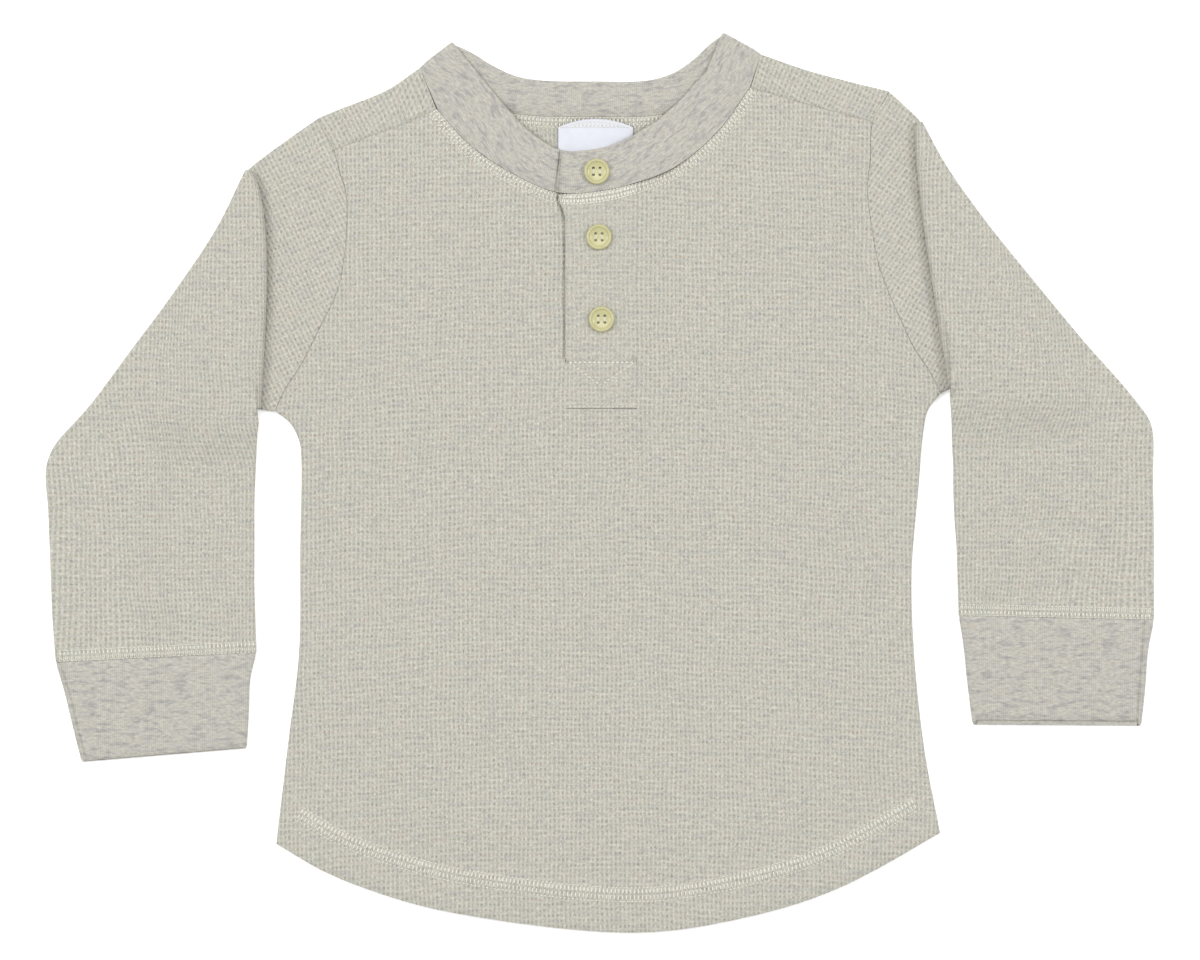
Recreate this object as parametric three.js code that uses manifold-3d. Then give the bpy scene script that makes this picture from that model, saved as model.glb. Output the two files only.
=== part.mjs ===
// A toddler's long-sleeved henley shirt in waffle knit, laid flat with its front up.
// Millimetres, +Z up, +X to the wearer's left, +Y to the collar, the back lying on z = 0.
import * as THREE from 'three';
import { mergeVertices } from 'three/addons/utils/BufferGeometryUtils.js';
import Module from 'manifold-3d';

const wasm = await Module();
wasm.setup();

// Driving dimensions
const KNIT_WALL = 1.2;            // waffle knit
const RIB_WALL = 1.8;             // doubled jersey of the neckband
const CUFF_WALL = 1.6;            // doubled jersey of a cuff
const HEM_WALL = 1.8;             // waffle knit turned up and pressed
const LABEL_WALL = 1.0;
const AIR = 0.3;                  // between two layers that lie on each other
const SEAM = 0.35;                // between two pieces that are sewn edge to edge
const BAND_SEAM = 0.45;           // the same along the neckband, measured along its sections
const SLEEVE_SEAM = 0.45;         // the same along an armhole, whose edge runs aslant
const FOLD_CLEARANCE = 0.8;       // more at its top, where the back's shoulder fold rounds towards the sleeve
const PUFF = 2.0;                 // how far the front stands off the back in the middle
const PUFF_EDGE = 45;             // the width over which it rises
const PUFF_BOX = { left: -122, right: 128, top: 176, hem: -206 };
const HEM_RISE = 39;              // the curved hem is this much higher at its corners
const HALF_CHEST = 150;
const TAN_KNIT = 0xc7c5ba;
const TAN_JERSEY = 0xc7c6c1;
const BUTTON_YELLOW = 0xdedaaa;
const LABEL_WHITE = 0xf1f0ee;

const BUTTON = {
  diameter: 11.8, height: 2.2, rim: 0.9, dish: 0.8, hole: 1.5, holePitch: 3.0,
  chamfer: 0.6, edge: 0.5, slope: 0.6, segments: 24, holeSegments: 8,
};
const BUTTONS = [
  { x: -1.5, y: 143.5, on: 'band' },
  { x: -0.5, y: 113.5, on: 'placket' },
  { x: 0.7, y: 75.7, on: 'placket' },
];
const PLACKET = { left: -15.2, right: 16.8, foot: 34.7, slotFoot: 56, flare: 3.6, flareFrom: 120 };
const PLACKET_TOP = { y: 133.2, from: -1, span: 17, rise: 4, power: 1.5 };
const PLACKET_STEPS = { across: 4, down: 12 };
const FLARE_SPAN = 14;            // the placket's overlapping edge widens to the neckband over this length
const SLOT = { left: -16, right: 16.5 };
const LABEL = { left: -19, right: 15, low: 150, high: 168, arch: 3.8 };
const LABEL_STEPS = { across: 6, up: 2 };

// Body outline tables, in mm. A side runs from the hem corner to the armpit.
const SIDES = {
  left: [
    { x: -149, y: -165.5 }, { x: -143.4, y: -118 }, { x: -138.5, y: -77 }, { x: -138, y: -30 },
    { x: -137.5, y: 11 }, { x: -138.5, y: 20 }, { x: -142.5, y: 27.5 }, { x: -146.5, y: 33 },
  ],
  right: [
    { x: 156.5, y: -160.5 }, { x: 149.3, y: -122 }, { x: 144.5, y: -77 }, { x: 143.5, y: -40 },
    { x: 146.5, y: -3 }, { x: 149, y: 25 }, { x: 151, y: 34 }, { x: 156.5, y: 41.5 },
  ],
};
const HEM = [
  { x: -149, y: -165.5 }, { x: -127.5, y: -178 }, { x: -105.5, y: -187 }, { x: -74, y: -196 },
  { x: -6, y: -205.5 }, { x: 32, y: -205.5 }, { x: 81, y: -196 }, { x: 107.5, y: -187 },
  { x: 126, y: -178 }, { x: 156.5, y: -160.5 },
];
// Where each armhole is sewn, from the armpit to the shoulder fold. The last row but one
// is where the forward shoulder seam meets it.
const ARMHOLES = {
  left: [
    { x: -146.5, y: 33 }, { x: -145, y: 43 }, { x: -138, y: 54 }, { x: -128, y: 74 },
    { x: -121, y: 88.5 }, { x: -118, y: 102.5 }, { x: -116.5, y: 119.5 }, { x: -117, y: 134 },
    { x: -120, y: 144 }, { x: -122.5, y: 153.5 }, { x: -129.5, y: 167 },
  ],
  right: [
    { x: 156.5, y: 41.5 }, { x: 152.5, y: 50 }, { x: 144, y: 63.5 }, { x: 137.5, y: 77.5 },
    { x: 132.5, y: 89 }, { x: 128, y: 102 }, { x: 125, y: 119 }, { x: 123, y: 135.5 },
    { x: 124.5, y: 149.5 }, { x: 125.5, y: 166.5 }, { x: 132.5, y: 179.5 },
  ],
};
// Shoulder folds and forward shoulder seams, both from the image-left end to the other.
const SHOULDER_FOLDS = {
  left: [{ x: -129.5, y: 167 }, { x: -120, y: 171 }, { x: -97, y: 180.3 }, { x: -82.8, y: 190 }],
  right: [{ x: 74.1, y: 196.4 }, { x: 94, y: 189.4 }, { x: 114, y: 184 }, { x: 132.5, y: 179.5 }],
};
const FORWARD_SEAMS = {
  left: [{ x: -122.5, y: 153.5 }, { x: -106, y: 160 }, { x: -92, y: 165 }, { x: -75.3, y: 172.2 }],
  right: [{ x: 69.4, y: 182.4 }, { x: 89, y: 176.5 }, { x: 107, y: 171.5 }, { x: 125.5, y: 166.5 }],
};
// Neckband sections: the seam below it and its top edge.
const FRONT_BAND = [
  { x: -75, y: 172.5, topX: -55, topY: 187.5 },
  { x: -60.5, y: 156.5, topX: -41.5, topY: 171.5 },
  { x: -41.5, y: 143.5, topX: -31, topY: 161 },
  { x: -19, y: 134, topX: -17.5, topY: 153.5 },
  { x: -1, y: 134.5, topX: -6, topY: 153.5 },
  { x: 15, y: 138, topX: 4.5, topY: 155.5 },
  { x: 34, y: 145.5, topX: 20.5, topY: 163.5 },
  { x: 54, y: 162, topX: 34, topY: 174 },
  { x: 69, y: 182.5, topX: 49, topY: 190 },
];
const BACK_BAND = [
  { x: -82.3, y: 190.2, topX: -66.8, topY: 202.1 },
  { x: -73.5, y: 183, topX: -59.5, topY: 198.8 },
  { x: -60.5, y: 175.8, topX: -49.5, topY: 192.7 },
  { x: -46, y: 171.6, topX: -39, topY: 187.9 },
  { x: -29.5, y: 169.4, topX: -27.5, topY: 185.9 },
  { x: -2, y: 169, topX: -2, topY: 185.4 },
  { x: 23, y: 169.4, topX: 22.5, topY: 185.9 },
  { x: 40.5, y: 172.4, topX: 34.5, topY: 189.6 },
  { x: 56.5, y: 179.7, topX: 43.5, topY: 195.8 },
  { x: 67, y: 189.8, topX: 50.5, topY: 202.4 },
  { x: 73.7, y: 196.4, topX: 55.7, topY: 206.2 },
];
const UPPER_END = 6;              // the wearer's left end of the band lies on top, from this half row
const UNDER_END = 10;             // and the other end runs under it to here
const BAND_RAMP = { from: 3.5, span: 3 };  // half rows over which the upper end climbs onto the under one

// Each sleeve is laid down beside the body with a pleat across its head. out is the way
// it lies, turn half the angle that the pleat takes up, bow the fold's bend to the body.
// The rows are lines across the sleeve below the pleat, from the fold to the cuff seam.
const SLEEVES = {
  left: {
    out: -1, turn: 13, bow: 5.5, swell: 0.4,
    rows: [
      { outX: -163, outY: 144.2, inX: -158.5, inY: 34.5 },
      { outX: -176.5, outY: 117, inX: -156.8, inY: 29 },
      { outX: -195.5, outY: 89, inX: -157.5, inY: 22.5 },
      { outX: -216, outY: 61.5, inX: -158, inY: 14.5 },
      { outX: -235, outY: 36, inX: -158.5, inY: 4 },
      { outX: -251.5, outY: 17, inX: -159, inY: -8 },
      { outX: -255, outY: 7, inX: -159, inY: -19 },
      { outX: -254, outY: -12, inX: -159, inY: -30.5 },
      { outX: -253, outY: -37.5, inX: -159, inY: -46.5 },
      { outX: -252, outY: -62.5, inX: -158.5, inY: -63.5 },
      { outX: -250.5, outY: -82, inX: -158, inY: -77.5 },
    ],
  },
  right: {
    out: 1, turn: 16, bow: 2.5, swell: 0.3,
    rows: [
      { outX: 148, outY: 166.6, inX: 163, inY: 45 },
      { outX: 159, outY: 146.5, inX: 161, inY: 39.5 },
      { outX: 177.5, outY: 120.5, inX: 161.3, inY: 34 },
      { outX: 199.5, outY: 93.5, inX: 161.7, inY: 27 },
      { outX: 222.5, outY: 66, inX: 162, inY: 17.5 },
      { outX: 246.5, outY: 38.5, inX: 162.5, inY: 8.5 },
      { outX: 253.8, outY: 27, inX: 162.5, inY: -0.5 },
      { outX: 254.5, outY: 1.5, inX: 163, inY: -14.5 },
      { outX: 255, outY: -21.5, inX: 164, inY: -28.5 },
      { outX: 255, outY: -44.5, inX: 164.5, inY: -44.5 },
      { outX: 255, outY: -62.5, inX: 165, inY: -60.5 },
    ],
  },
};
const PLEAT_DRAPE = 26;           // the sleeve comes down to the surface over this width
const PLEAT_SHELF = 4;            // and stays level this far past the pleat
const PLEAT_INSET = 20;           // the pleat's hidden fold stops this far short of the sleeve's top edge
const FOLD_TURNS = [60, 120, 180];
const FLAP_SHARES = [0.5, 1];     // rows of the back's flaps, from the shoulder fold to the forward seam
const HEAD_STEPS = 3;
const BAND_STEPS = 2;             // sections of the neckband for each of its rows
const SLOT_DEPTH = 20;
const WELD = 1e-4;

// Cuff lines, from the seam to the edge, and how much the under layer shows past it.
const CUFFS = {
  left: {
    under: 0.4,
    rows: [
      { outX: -249.5, outY: -84.2, inX: -158.8, inY: -78.4 },
      { outX: -246.8, outY: -95, inX: -160.8, inY: -89.5 },
      { outX: -242.7, outY: -111, inX: -161.5, inY: -105 },
      { outX: -238.5, outY: -127.2, inX: -162.5, inY: -121.2 },
    ],
  },
  right: {
    under: 2.3,
    rows: [
      { outX: 254.6, outY: -64, inX: 165.4, inY: -61.6 },
      { outX: 252.3, outY: -76.5, inX: 167.2, inY: -74.3 },
      { outX: 251, outY: -92.5, inX: 169, inY: -91 },
      { outX: 249.1, outY: -109, inX: 171.4, inY: -108.5 },
    ],
  },
};
const CUFF_STEPS = 7;
const SWELL_POWER = 3;            // a head swells most towards the shoulder
const BOW_POWER = 0.6;            // a fold bends most below its middle
const BOW_ROWS = 3;               // and the bend has gone this many rows past it

// Heights of the layers' middles above the surface
const BACK_LEVEL = KNIT_WALL / 2;
const FRONT_LEVEL = KNIT_WALL + AIR + KNIT_WALL / 2;
const PLACKET_LEVEL = FRONT_LEVEL + KNIT_WALL + AIR;
const BACK_BAND_LEVEL = RIB_WALL / 2;
const UNDER_BAND_LEVEL = RIB_WALL + AIR + RIB_WALL / 2;
const UPPER_BAND_LEVEL = UNDER_BAND_LEVEL + RIB_WALL + AIR;
const LABEL_LEVEL = KNIT_WALL + AIR + LABEL_WALL / 2;
const TUBE_HALF = (KNIT_WALL + AIR) / 2;
const TUBE_LEVEL = KNIT_WALL + AIR / 2;
const TUBE_REACH = TUBE_HALF + KNIT_WALL / 2;
const PLEAT_RADIUS = TUBE_REACH + AIR / 2;

const SIDE_STEPS = [0, 0.085, 0.105, 0.25, 0.42, 0.6, 0.77, 0.9, 0.96, 1];
const HEM_ROWS = 1;               // rows of the side steps that lie on the turned-up hem
const SHOULDER_STEPS = 5;

const degrees = THREE.MathUtils.degToRad;
const lerp = THREE.MathUtils.lerp;

function ease(t) {
  return THREE.MathUtils.smoothstep(t, 0, 1);
}

function range(count) {
  return Array.from({ length: count }, (_, index) => index);
}

function flat(row) {
  return new THREE.Vector3(row.x, row.y, 0);
}

function curveThrough(rows) {
  return new THREE.CatmullRomCurve3(rows.map(flat), false, 'centripetal');
}

// How far the front and what is sewn to it stand above their flat level
function lift(x, y) {
  const hem = PUFF_BOX.hem + HEM_RISE * (x / HALF_CHEST) ** 2;
  const across = ease((x - PUFF_BOX.left) / PUFF_EDGE) * ease((PUFF_BOX.right - x) / PUFF_EDGE);
  return PUFF * across * ease((PUFF_BOX.top - y) / PUFF_EDGE) * ease((y - hem) / PUFF_EDGE);
}

function runLengths(points) {
  const sums = [0];
  for (let k = 1; k < points.length; k += 1) {
    sums.push(sums[k - 1] + points[k].distanceTo(points[k - 1]));
  }
  return sums.map((sum) => sum / sums[sums.length - 1]);
}

// A grid of points between four edges, which meet at its corners
function patch(bottom, top, left, right) {
  const lowShares = runLengths(bottom);
  const highShares = runLengths(top);
  const leftShares = runLengths(left);
  const rightShares = runLengths(right);
  return bottom.map((low, i) => left.map((start, j) => {
    const v = (leftShares[j] + rightShares[j]) / 2;
    const u = lerp(lowShares[i], highShares[i], v);
    const point = new THREE.Vector3();
    point.addScaledVector(low, 1 - v).addScaledVector(top[i], v);
    point.addScaledVector(start, 1 - u).addScaledVector(right[j], u);
    point.addScaledVector(bottom[0], -(1 - u) * (1 - v));
    point.addScaledVector(bottom[bottom.length - 1], -u * (1 - v));
    point.addScaledVector(top[0], -(1 - u) * v);
    point.addScaledVector(top[top.length - 1], -u * v);
    return point;
  }));
}

// A closed solid on both sides of a grid of middle points. half(i, j) is half the wall.
// Where wrap is set, the second index runs round a tube. Cells with a missing corner are open.
function wall(grid, half, wrap = false) {
  const rows = grid[0].length;
  const at = (i, j) => {
    const row = wrap ? (j + rows) % rows : j;
    return grid[i] === undefined ? undefined : grid[i][row];
  };
  const positions = [];
  const faces = [];
  const number = new Map();
  grid.forEach((column, i) => column.forEach((point, j) => {
    if (!point) {
      return;
    }
    const along = new THREE.Vector3().subVectors(at(i + 1, j) ?? point, at(i - 1, j) ?? point);
    const across = new THREE.Vector3().subVectors(at(i, j + 1) ?? point, at(i, j - 1) ?? point);
    const normal = along.cross(across).normalize();
    number.set(`${i},${j}`, positions.length / 3);
    [half(i, j), -half(i, j)].forEach((reach) => {
      const end = point.clone().addScaledVector(normal, reach);
      positions.push(end.x, end.y, Math.max(end.z, 0));
    });
  }));
  const index = ([i, j]) => number.get(`${i},${wrap ? (j + rows) % rows : j}`);
  const corners = (i, j) => [[i, j], [i + 1, j], [i + 1, j + 1], [i, j + 1]];
  const whole = (i, j) => corners(i, j).every(([a, b]) => at(a, b) !== undefined && at(a, b) !== null);
  const quad = (a, b, c, d) => faces.push(a, b, c, a, c, d);
  const neighbours = [[0, -1], [1, 0], [0, 1], [-1, 0]];
  for (let i = 0; i < grid.length - 1; i += 1) {
    for (let j = 0; j < (wrap ? rows : rows - 1); j += 1) {
      if (whole(i, j)) {
        const [a, b, c, d] = corners(i, j).map(index);
        quad(a, b, c, d);
        quad(d + 1, c + 1, b + 1, a + 1);
        neighbours.forEach(([di, dj], side) => {
          if (!whole(i + di, j + dj)) {
            const start = [a, b, c, d][side];
            const end = [b, c, d, a][side];
            quad(end, start, start + 1, end + 1);
          }
        });
      }
    }
  }
  const geometry = new THREE.BufferGeometry();
  geometry.setAttribute('position', new THREE.Float32BufferAttribute(positions, 3));
  geometry.setIndex(faces);
  return outward(geometry);
}

// Turns the faces round where they enclose a negative volume
function outward(geometry) {
  const place = geometry.attributes.position;
  const order = geometry.index.array;
  const [a, b, c] = [new THREE.Vector3(), new THREE.Vector3(), new THREE.Vector3()];
  let volume = 0;
  for (let k = 0; k < order.length; k += 3) {
    a.fromBufferAttribute(place, order[k]);
    b.fromBufferAttribute(place, order[k + 1]);
    c.fromBufferAttribute(place, order[k + 2]);
    volume += a.dot(b.cross(c));
  }
  if (volume < 0) {
    order.reverse();
  }
  return geometry;
}

// The geometry without its normals, as a closed surface
function welded(geometry) {
  const bare = geometry.clone();
  bare.deleteAttribute('normal');
  bare.deleteAttribute('uv');
  return mergeVertices(bare, WELD);
}

function solid(geometry) {
  const merged = welded(geometry);
  const mesh = new wasm.Mesh({
    numProp: 3,
    vertProperties: new Float32Array(merged.attributes.position.array),
    triVerts: new Uint32Array(merged.index.array),
  });
  return new wasm.Manifold(mesh);
}

function geometryOf(body) {
  const mesh = body.getMesh();
  const geometry = new THREE.BufferGeometry();
  geometry.setAttribute('position', new THREE.BufferAttribute(mesh.vertProperties, mesh.numProp));
  geometry.setIndex(new THREE.BufferAttribute(mesh.triVerts, 1));
  return geometry;
}

// Half a wall on the panels, thicker where the hem is turned up
function panelHalf(i, j) {
  return (j <= HEM_ROWS ? HEM_WALL : KNIT_WALL) / 2;
}

function sideEdge(side, armholeRows) {
  const curve = curveThrough(SIDES[side]);
  const edge = SIDE_STEPS.map((share) => curve.getPointAt(share));
  return edge.concat(ARMHOLES[side].slice(1, armholeRows).map(flat));
}

// The lower and the upper edge of neckband sections
function bandEdges(rows) {
  const count = (rows.length - 1) * BAND_STEPS;
  const tops = rows.map((row) => ({ x: row.topX, y: row.topY }));
  return { seam: curveThrough(rows).getPoints(count), tops: curveThrough(tops).getPoints(count) };
}

// The seam points of neckband sections, moved clear of the band
function besideBand(rows) {
  const { seam, tops } = bandEdges(rows);
  return seam.map((point, k) => point.clone().addScaledVector(
    new THREE.Vector3().subVectors(point, tops[k]).normalize(), BAND_SEAM,
  ));
}

function topEdge(leftRun, neck, rightRun) {
  const left = curveThrough(leftRun).getSpacedPoints(SHOULDER_STEPS);
  const right = curveThrough(rightRun).getSpacedPoints(SHOULDER_STEPS);
  return left.slice(0, -1).concat(neck, right.slice(1));
}

// A body panel. Its top edge runs along one shoulder, round the neck and along the other.
function panelGrid(neck, leftRun, rightRun, armholeRows) {
  const top = topEdge(leftRun, neck, rightRun);
  const hem = curveThrough(HEM).getSpacedPoints(top.length - 1);
  const left = sideEdge('left', armholeRows);
  const right = sideEdge('right', armholeRows);
  left[left.length - 1] = top[0].clone();
  right[right.length - 1] = top[top.length - 1].clone();
  return patch(hem, top, left, right);
}

// The back lies on the surface and folds over each shoulder to the forward seam
function backGeometry() {
  const neck = besideBand(BACK_BAND);
  const rows = ARMHOLES.left.length;
  const grid = panelGrid(neck, SHOULDER_FOLDS.left, SHOULDER_FOLDS.right, rows);
  const last = grid[0].length - 1;
  const columns = grid.length - 1;
  grid.forEach((column) => column.forEach((point, j) => {
    point.z = panelHalf(0, j);
  }));
  const flaps = {
    left: { first: 0, seam: curveThrough(FORWARD_SEAMS.left).getSpacedPoints(SHOULDER_STEPS) },
    right: {
      first: columns - SHOULDER_STEPS,
      seam: curveThrough(FORWARD_SEAMS.right).getSpacedPoints(SHOULDER_STEPS),
    },
  };
  const radius = (FRONT_LEVEL - BACK_LEVEL) / 2;
  const extra = new Map();
  Object.values(flaps).forEach(({ first, seam }) => range(SHOULDER_STEPS + 1).forEach((k) => {
    const fold = grid[first + k][last];
    const before = grid[first + Math.max(k - 1, 0)][last];
    const after = grid[first + Math.min(k + 1, SHOULDER_STEPS)][last];
    const along = new THREE.Vector3().subVectors(after, before).normalize();
    const out = new THREE.Vector3(-along.y, along.x, 0);
    const round = FOLD_TURNS.map((turn) => {
      const point = fold.clone().addScaledVector(out, radius * Math.sin(degrees(turn)));
      point.z = BACK_LEVEL + radius * (1 - Math.cos(degrees(turn)));
      return point;
    });
    const end = seam[k].clone();
    end.y += SEAM;
    const lay = FLAP_SHARES.map((share) => {
      const point = new THREE.Vector3(lerp(fold.x, end.x, share), lerp(fold.y, end.y, share), 0);
      point.z = FRONT_LEVEL + lift(point.x, point.y);
      return point;
    });
    extra.set(first + k, round.concat(lay));
  }));
  grid.forEach((column, i) => {
    const more = extra.get(i) ?? range(FOLD_TURNS.length + FLAP_SHARES.length).map(() => null);
    column.push(...more);
  });
  return wall(grid, panelHalf);
}

function frontGeometry() {
  const neck = besideBand(FRONT_BAND);
  const rows = ARMHOLES.left.length - 1;
  const grid = panelGrid(neck, FORWARD_SEAMS.left, FORWARD_SEAMS.right, rows);
  grid.forEach((column) => column.forEach((point, j) => {
    const under = FRONT_LEVEL - KNIT_WALL / 2 + (j <= HEM_ROWS ? HEM_WALL - KNIT_WALL : 0);
    point.z = under + panelHalf(0, j) + lift(point.x, point.y);
  }));
  const slot = new THREE.Shape([
    new THREE.Vector2(SLOT.left, PLACKET.slotFoot),
    new THREE.Vector2(SLOT.right, PLACKET.slotFoot),
    new THREE.Vector2(SLOT.right, FRONT_BAND[0].y),
    new THREE.Vector2(SLOT.left, FRONT_BAND[0].y),
  ]);
  const cutter = new THREE.ExtrudeGeometry(slot, { depth: SLOT_DEPTH, bevelEnabled: false });
  return geometryOf(solid(wall(grid, panelHalf)).subtract(solid(cutter)));
}

// Height of the placket's top edge, which follows the seam of the neckband
function placketTop(x) {
  const share = Math.max((x - PLACKET_TOP.from) / PLACKET_TOP.span, 0);
  return PLACKET_TOP.y + PLACKET_TOP.rise * share ** PLACKET_TOP.power;
}

function placketGeometry(level, left, right, foot, flare) {
  const { across, down } = PLACKET_STEPS;
  const grid = range(across + 1).map((i) => range(down + 1).map((j) => {
    const share = i / across;
    const x = lerp(left, right, share);
    const y = lerp(foot, placketTop(x), j / down);
    const shift = flare * (1 - share) * ease((y - PLACKET.flareFrom) / FLARE_SPAN);
    return new THREE.Vector3(x - shift, y, level + lift(x, y));
  }));
  return wall(grid, () => KNIT_WALL / 2);
}

// One strip: from the under end at the front, round one shoulder, across the back,
// round the other shoulder and to the upper end, which lies over the first
function bandGeometry() {
  const { seam, tops: top } = bandEdges(FRONT_BAND);
  const { seam: backSeam, tops: backTop } = bandEdges(BACK_BAND);
  const count = seam.length - 1;
  const sections = [];
  const add = (low, high, z) => sections.push([0, 0.5, 1].map((share) => {
    const point = low.clone().lerp(high, share);
    point.z = z(point);
    return point;
  }));
  const fold = (low, high, out, turns) => turns.forEach((turn) => {
    const radius = (UNDER_BAND_LEVEL - BACK_BAND_LEVEL) / 2;
    const shift = out.clone().multiplyScalar(radius * Math.sin(degrees(turn)));
    const height = BACK_BAND_LEVEL + radius * (1 - Math.cos(degrees(turn)));
    add(low.clone().add(shift), high.clone().add(shift), () => height);
  });
  const normalTo = (low, high, sign) => {
    const along = new THREE.Vector3().subVectors(high, low).normalize();
    return new THREE.Vector3(-along.y * sign, along.x * sign, 0);
  };
  const underLevel = (point) => UNDER_BAND_LEVEL + lift(point.x, point.y);
  for (let k = UNDER_END; k >= 0; k -= 1) {
    add(seam[k], top[k], underLevel);
  }
  const [tipLeft, tipLeftTop] = [backSeam[0], backTop[0]];
  add(tipLeft.clone().lerp(seam[0], 0.5), tipLeftTop.clone().lerp(top[0], 0.5), underLevel);
  fold(tipLeft, tipLeftTop, normalTo(tipLeft, tipLeftTop, 1), [180, 120, 60, 0]);
  for (let k = 1; k < backSeam.length - 1; k += 1) {
    add(backSeam[k], backTop[k], () => BACK_BAND_LEVEL);
  }
  const tipRight = backSeam[backSeam.length - 1];
  const tipRightTop = backTop[backTop.length - 1];
  fold(tipRight, tipRightTop, normalTo(tipRight, tipRightTop, -1), [0, 60, 120, 180]);
  add(tipRight.clone().lerp(seam[count], 0.5), tipRightTop.clone().lerp(top[count], 0.5), underLevel);
  for (let k = count; k >= UPPER_END; k -= 1) {
    const climb = ease((UNDER_END + BAND_RAMP.from - k) / BAND_RAMP.span);
    const raise = (UPPER_BAND_LEVEL - UNDER_BAND_LEVEL) * climb;
    add(seam[k], top[k], (point) => UNDER_BAND_LEVEL + raise + lift(point.x, point.y));
  }
  return wall(sections, () => RIB_WALL / 2);
}

// The label's top edge is arched
function labelGeometry() {
  const { across, up } = LABEL_STEPS;
  const grid = range(across + 1).map((i) => range(up + 1).map((j) => {
    const top = LABEL.high - LABEL.arch * (1 - Math.sin(Math.PI * i / across));
    return new THREE.Vector3(
      lerp(LABEL.left, LABEL.right, i / across), lerp(LABEL.low, top, j / up), LABEL_LEVEL,
    );
  }));
  return wall(grid, () => LABEL_WALL / 2);
}

// A line across a sleeve, from its inner end to its outer one, bowed towards the body
function sleeveLine(row, bow, out, steps) {
  const inner = new THREE.Vector3(row.inX, row.inY, 0);
  const outer = new THREE.Vector3(row.outX, row.outY, 0);
  const along = new THREE.Vector3().subVectors(outer, inner).normalize();
  inner.addScaledVector(along, TUBE_REACH);
  outer.addScaledVector(along, -TUBE_REACH);
  return range(steps + 1).map((k) => {
    const share = k / steps;
    const point = inner.clone().lerp(outer, share);
    point.x -= out * bow * Math.sin(Math.PI * (1 - share) ** BOW_POWER);
    return point;
  });
}

// A ring round a flattened tube. turn 0 is the tube lying flat, 180 the tube folded over.
function ring(line, out, shift, turn, height, half) {
  const first = line[0];
  const last = line[line.length - 1];
  const along = new THREE.Vector3().subVectors(last, first).normalize();
  const across = new THREE.Vector3(out * along.y, -out * along.x, 0);
  const layer = (sign) => line.map((point) => {
    const moved = point.clone().addScaledVector(across, shift - sign * half * Math.sin(degrees(turn)));
    moved.z = height(point) + sign * half * Math.cos(degrees(turn));
    return moved;
  });
  const tip = (point, sign) => {
    const moved = point.clone().addScaledVector(along, sign * half).addScaledVector(across, shift);
    moved.z = height(point);
    return moved;
  };
  return layer(1).concat([tip(last, 1)], layer(-1).reverse(), [tip(first, -1)]);
}

// The tube runs out from the armhole, folds back under itself at a hidden line, folds
// out again along the fold that shows, and lies down on the surface to the cuff seam
function sleeveGeometry(side) {
  const { out, turn, bow, swell, rows } = SLEEVES[side];
  const steps = ARMHOLES[side].length - 1;
  const armhole = ARMHOLES[side].map(flat);
  armhole[0].y += TUBE_REACH;
  armhole.forEach((point) => {
    point.x += out * SLEEVE_SEAM;
  });
  armhole[steps].x += out * FOLD_CLEARANCE;
  const fold = sleeveLine(rows[0], bow, out, steps);
  const foldTop = fold[steps];
  const shorter = 1 - PLEAT_INSET / foldTop.distanceTo(fold[0]);
  const hidden = fold.map((point) => fold[0].clone().lerp(point, shorter).sub(foldTop)
    .applyAxisAngle(new THREE.Vector3(0, 0, 1), out * degrees(turn)).add(foldTop));
  const level = (pass) => () => TUBE_LEVEL + 2 * PLEAT_RADIUS * pass;
  const rings = [];
  range(HEAD_STEPS).forEach((k) => {
    const share = k / HEAD_STEPS;
    const line = armhole.map((point, i) => {
      const moved = point.clone().lerp(fold[i], share);
      moved.y += swell * 4 * share * (1 - share) * (i / steps) ** SWELL_POWER;
      return moved;
    });
    rings.push(ring(line, out, 0, 0, level(0), TUBE_HALF));
  });
  rings.push(ring(fold, out, 0, 0, level(0), TUBE_HALF));
  rings.push(ring(hidden, out, 0, 0, level(0), TUBE_HALF));
  FOLD_TURNS.forEach((angle) => {
    const height = TUBE_LEVEL + PLEAT_RADIUS * (1 - Math.cos(degrees(angle)));
    const shift = PLEAT_RADIUS * Math.sin(degrees(angle));
    rings.push(ring(hidden, out, shift, angle, () => height, TUBE_HALF));
  });
  [180, 120, 60, 0].forEach((angle) => {
    const height = TUBE_LEVEL + PLEAT_RADIUS * (3 + Math.cos(degrees(angle)));
    const shift = -PLEAT_RADIUS * Math.sin(degrees(angle));
    rings.push(ring(fold, out, shift, angle, () => height, TUBE_HALF));
  });
  const hiddenAlong = new THREE.Vector3().subVectors(hidden[steps], hidden[0]).normalize();
  const beyond = new THREE.Vector3(out * hiddenAlong.y, -out * hiddenAlong.x, 0);
  const drape = (point) => {
    const past = Math.max(new THREE.Vector3().subVectors(point, foldTop).dot(beyond), 0);
    const below = Math.max(fold[0].y - point.y, 0);
    const away = Math.max(Math.hypot(past, below) - PLEAT_SHELF, 0);
    return TUBE_LEVEL + 4 * PLEAT_RADIUS * (1 - ease(away / PLEAT_DRAPE));
  };
  rows.slice(1).forEach((row, k) => {
    const fade = Math.max(1 - (k + 1) / BOW_ROWS, 0);
    rings.push(ring(sleeveLine(row, bow * fade, out, steps), out, 0, 0, drape, TUBE_HALF));
  });
  return wall(rings, () => KNIT_WALL / 2, true);
}

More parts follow.
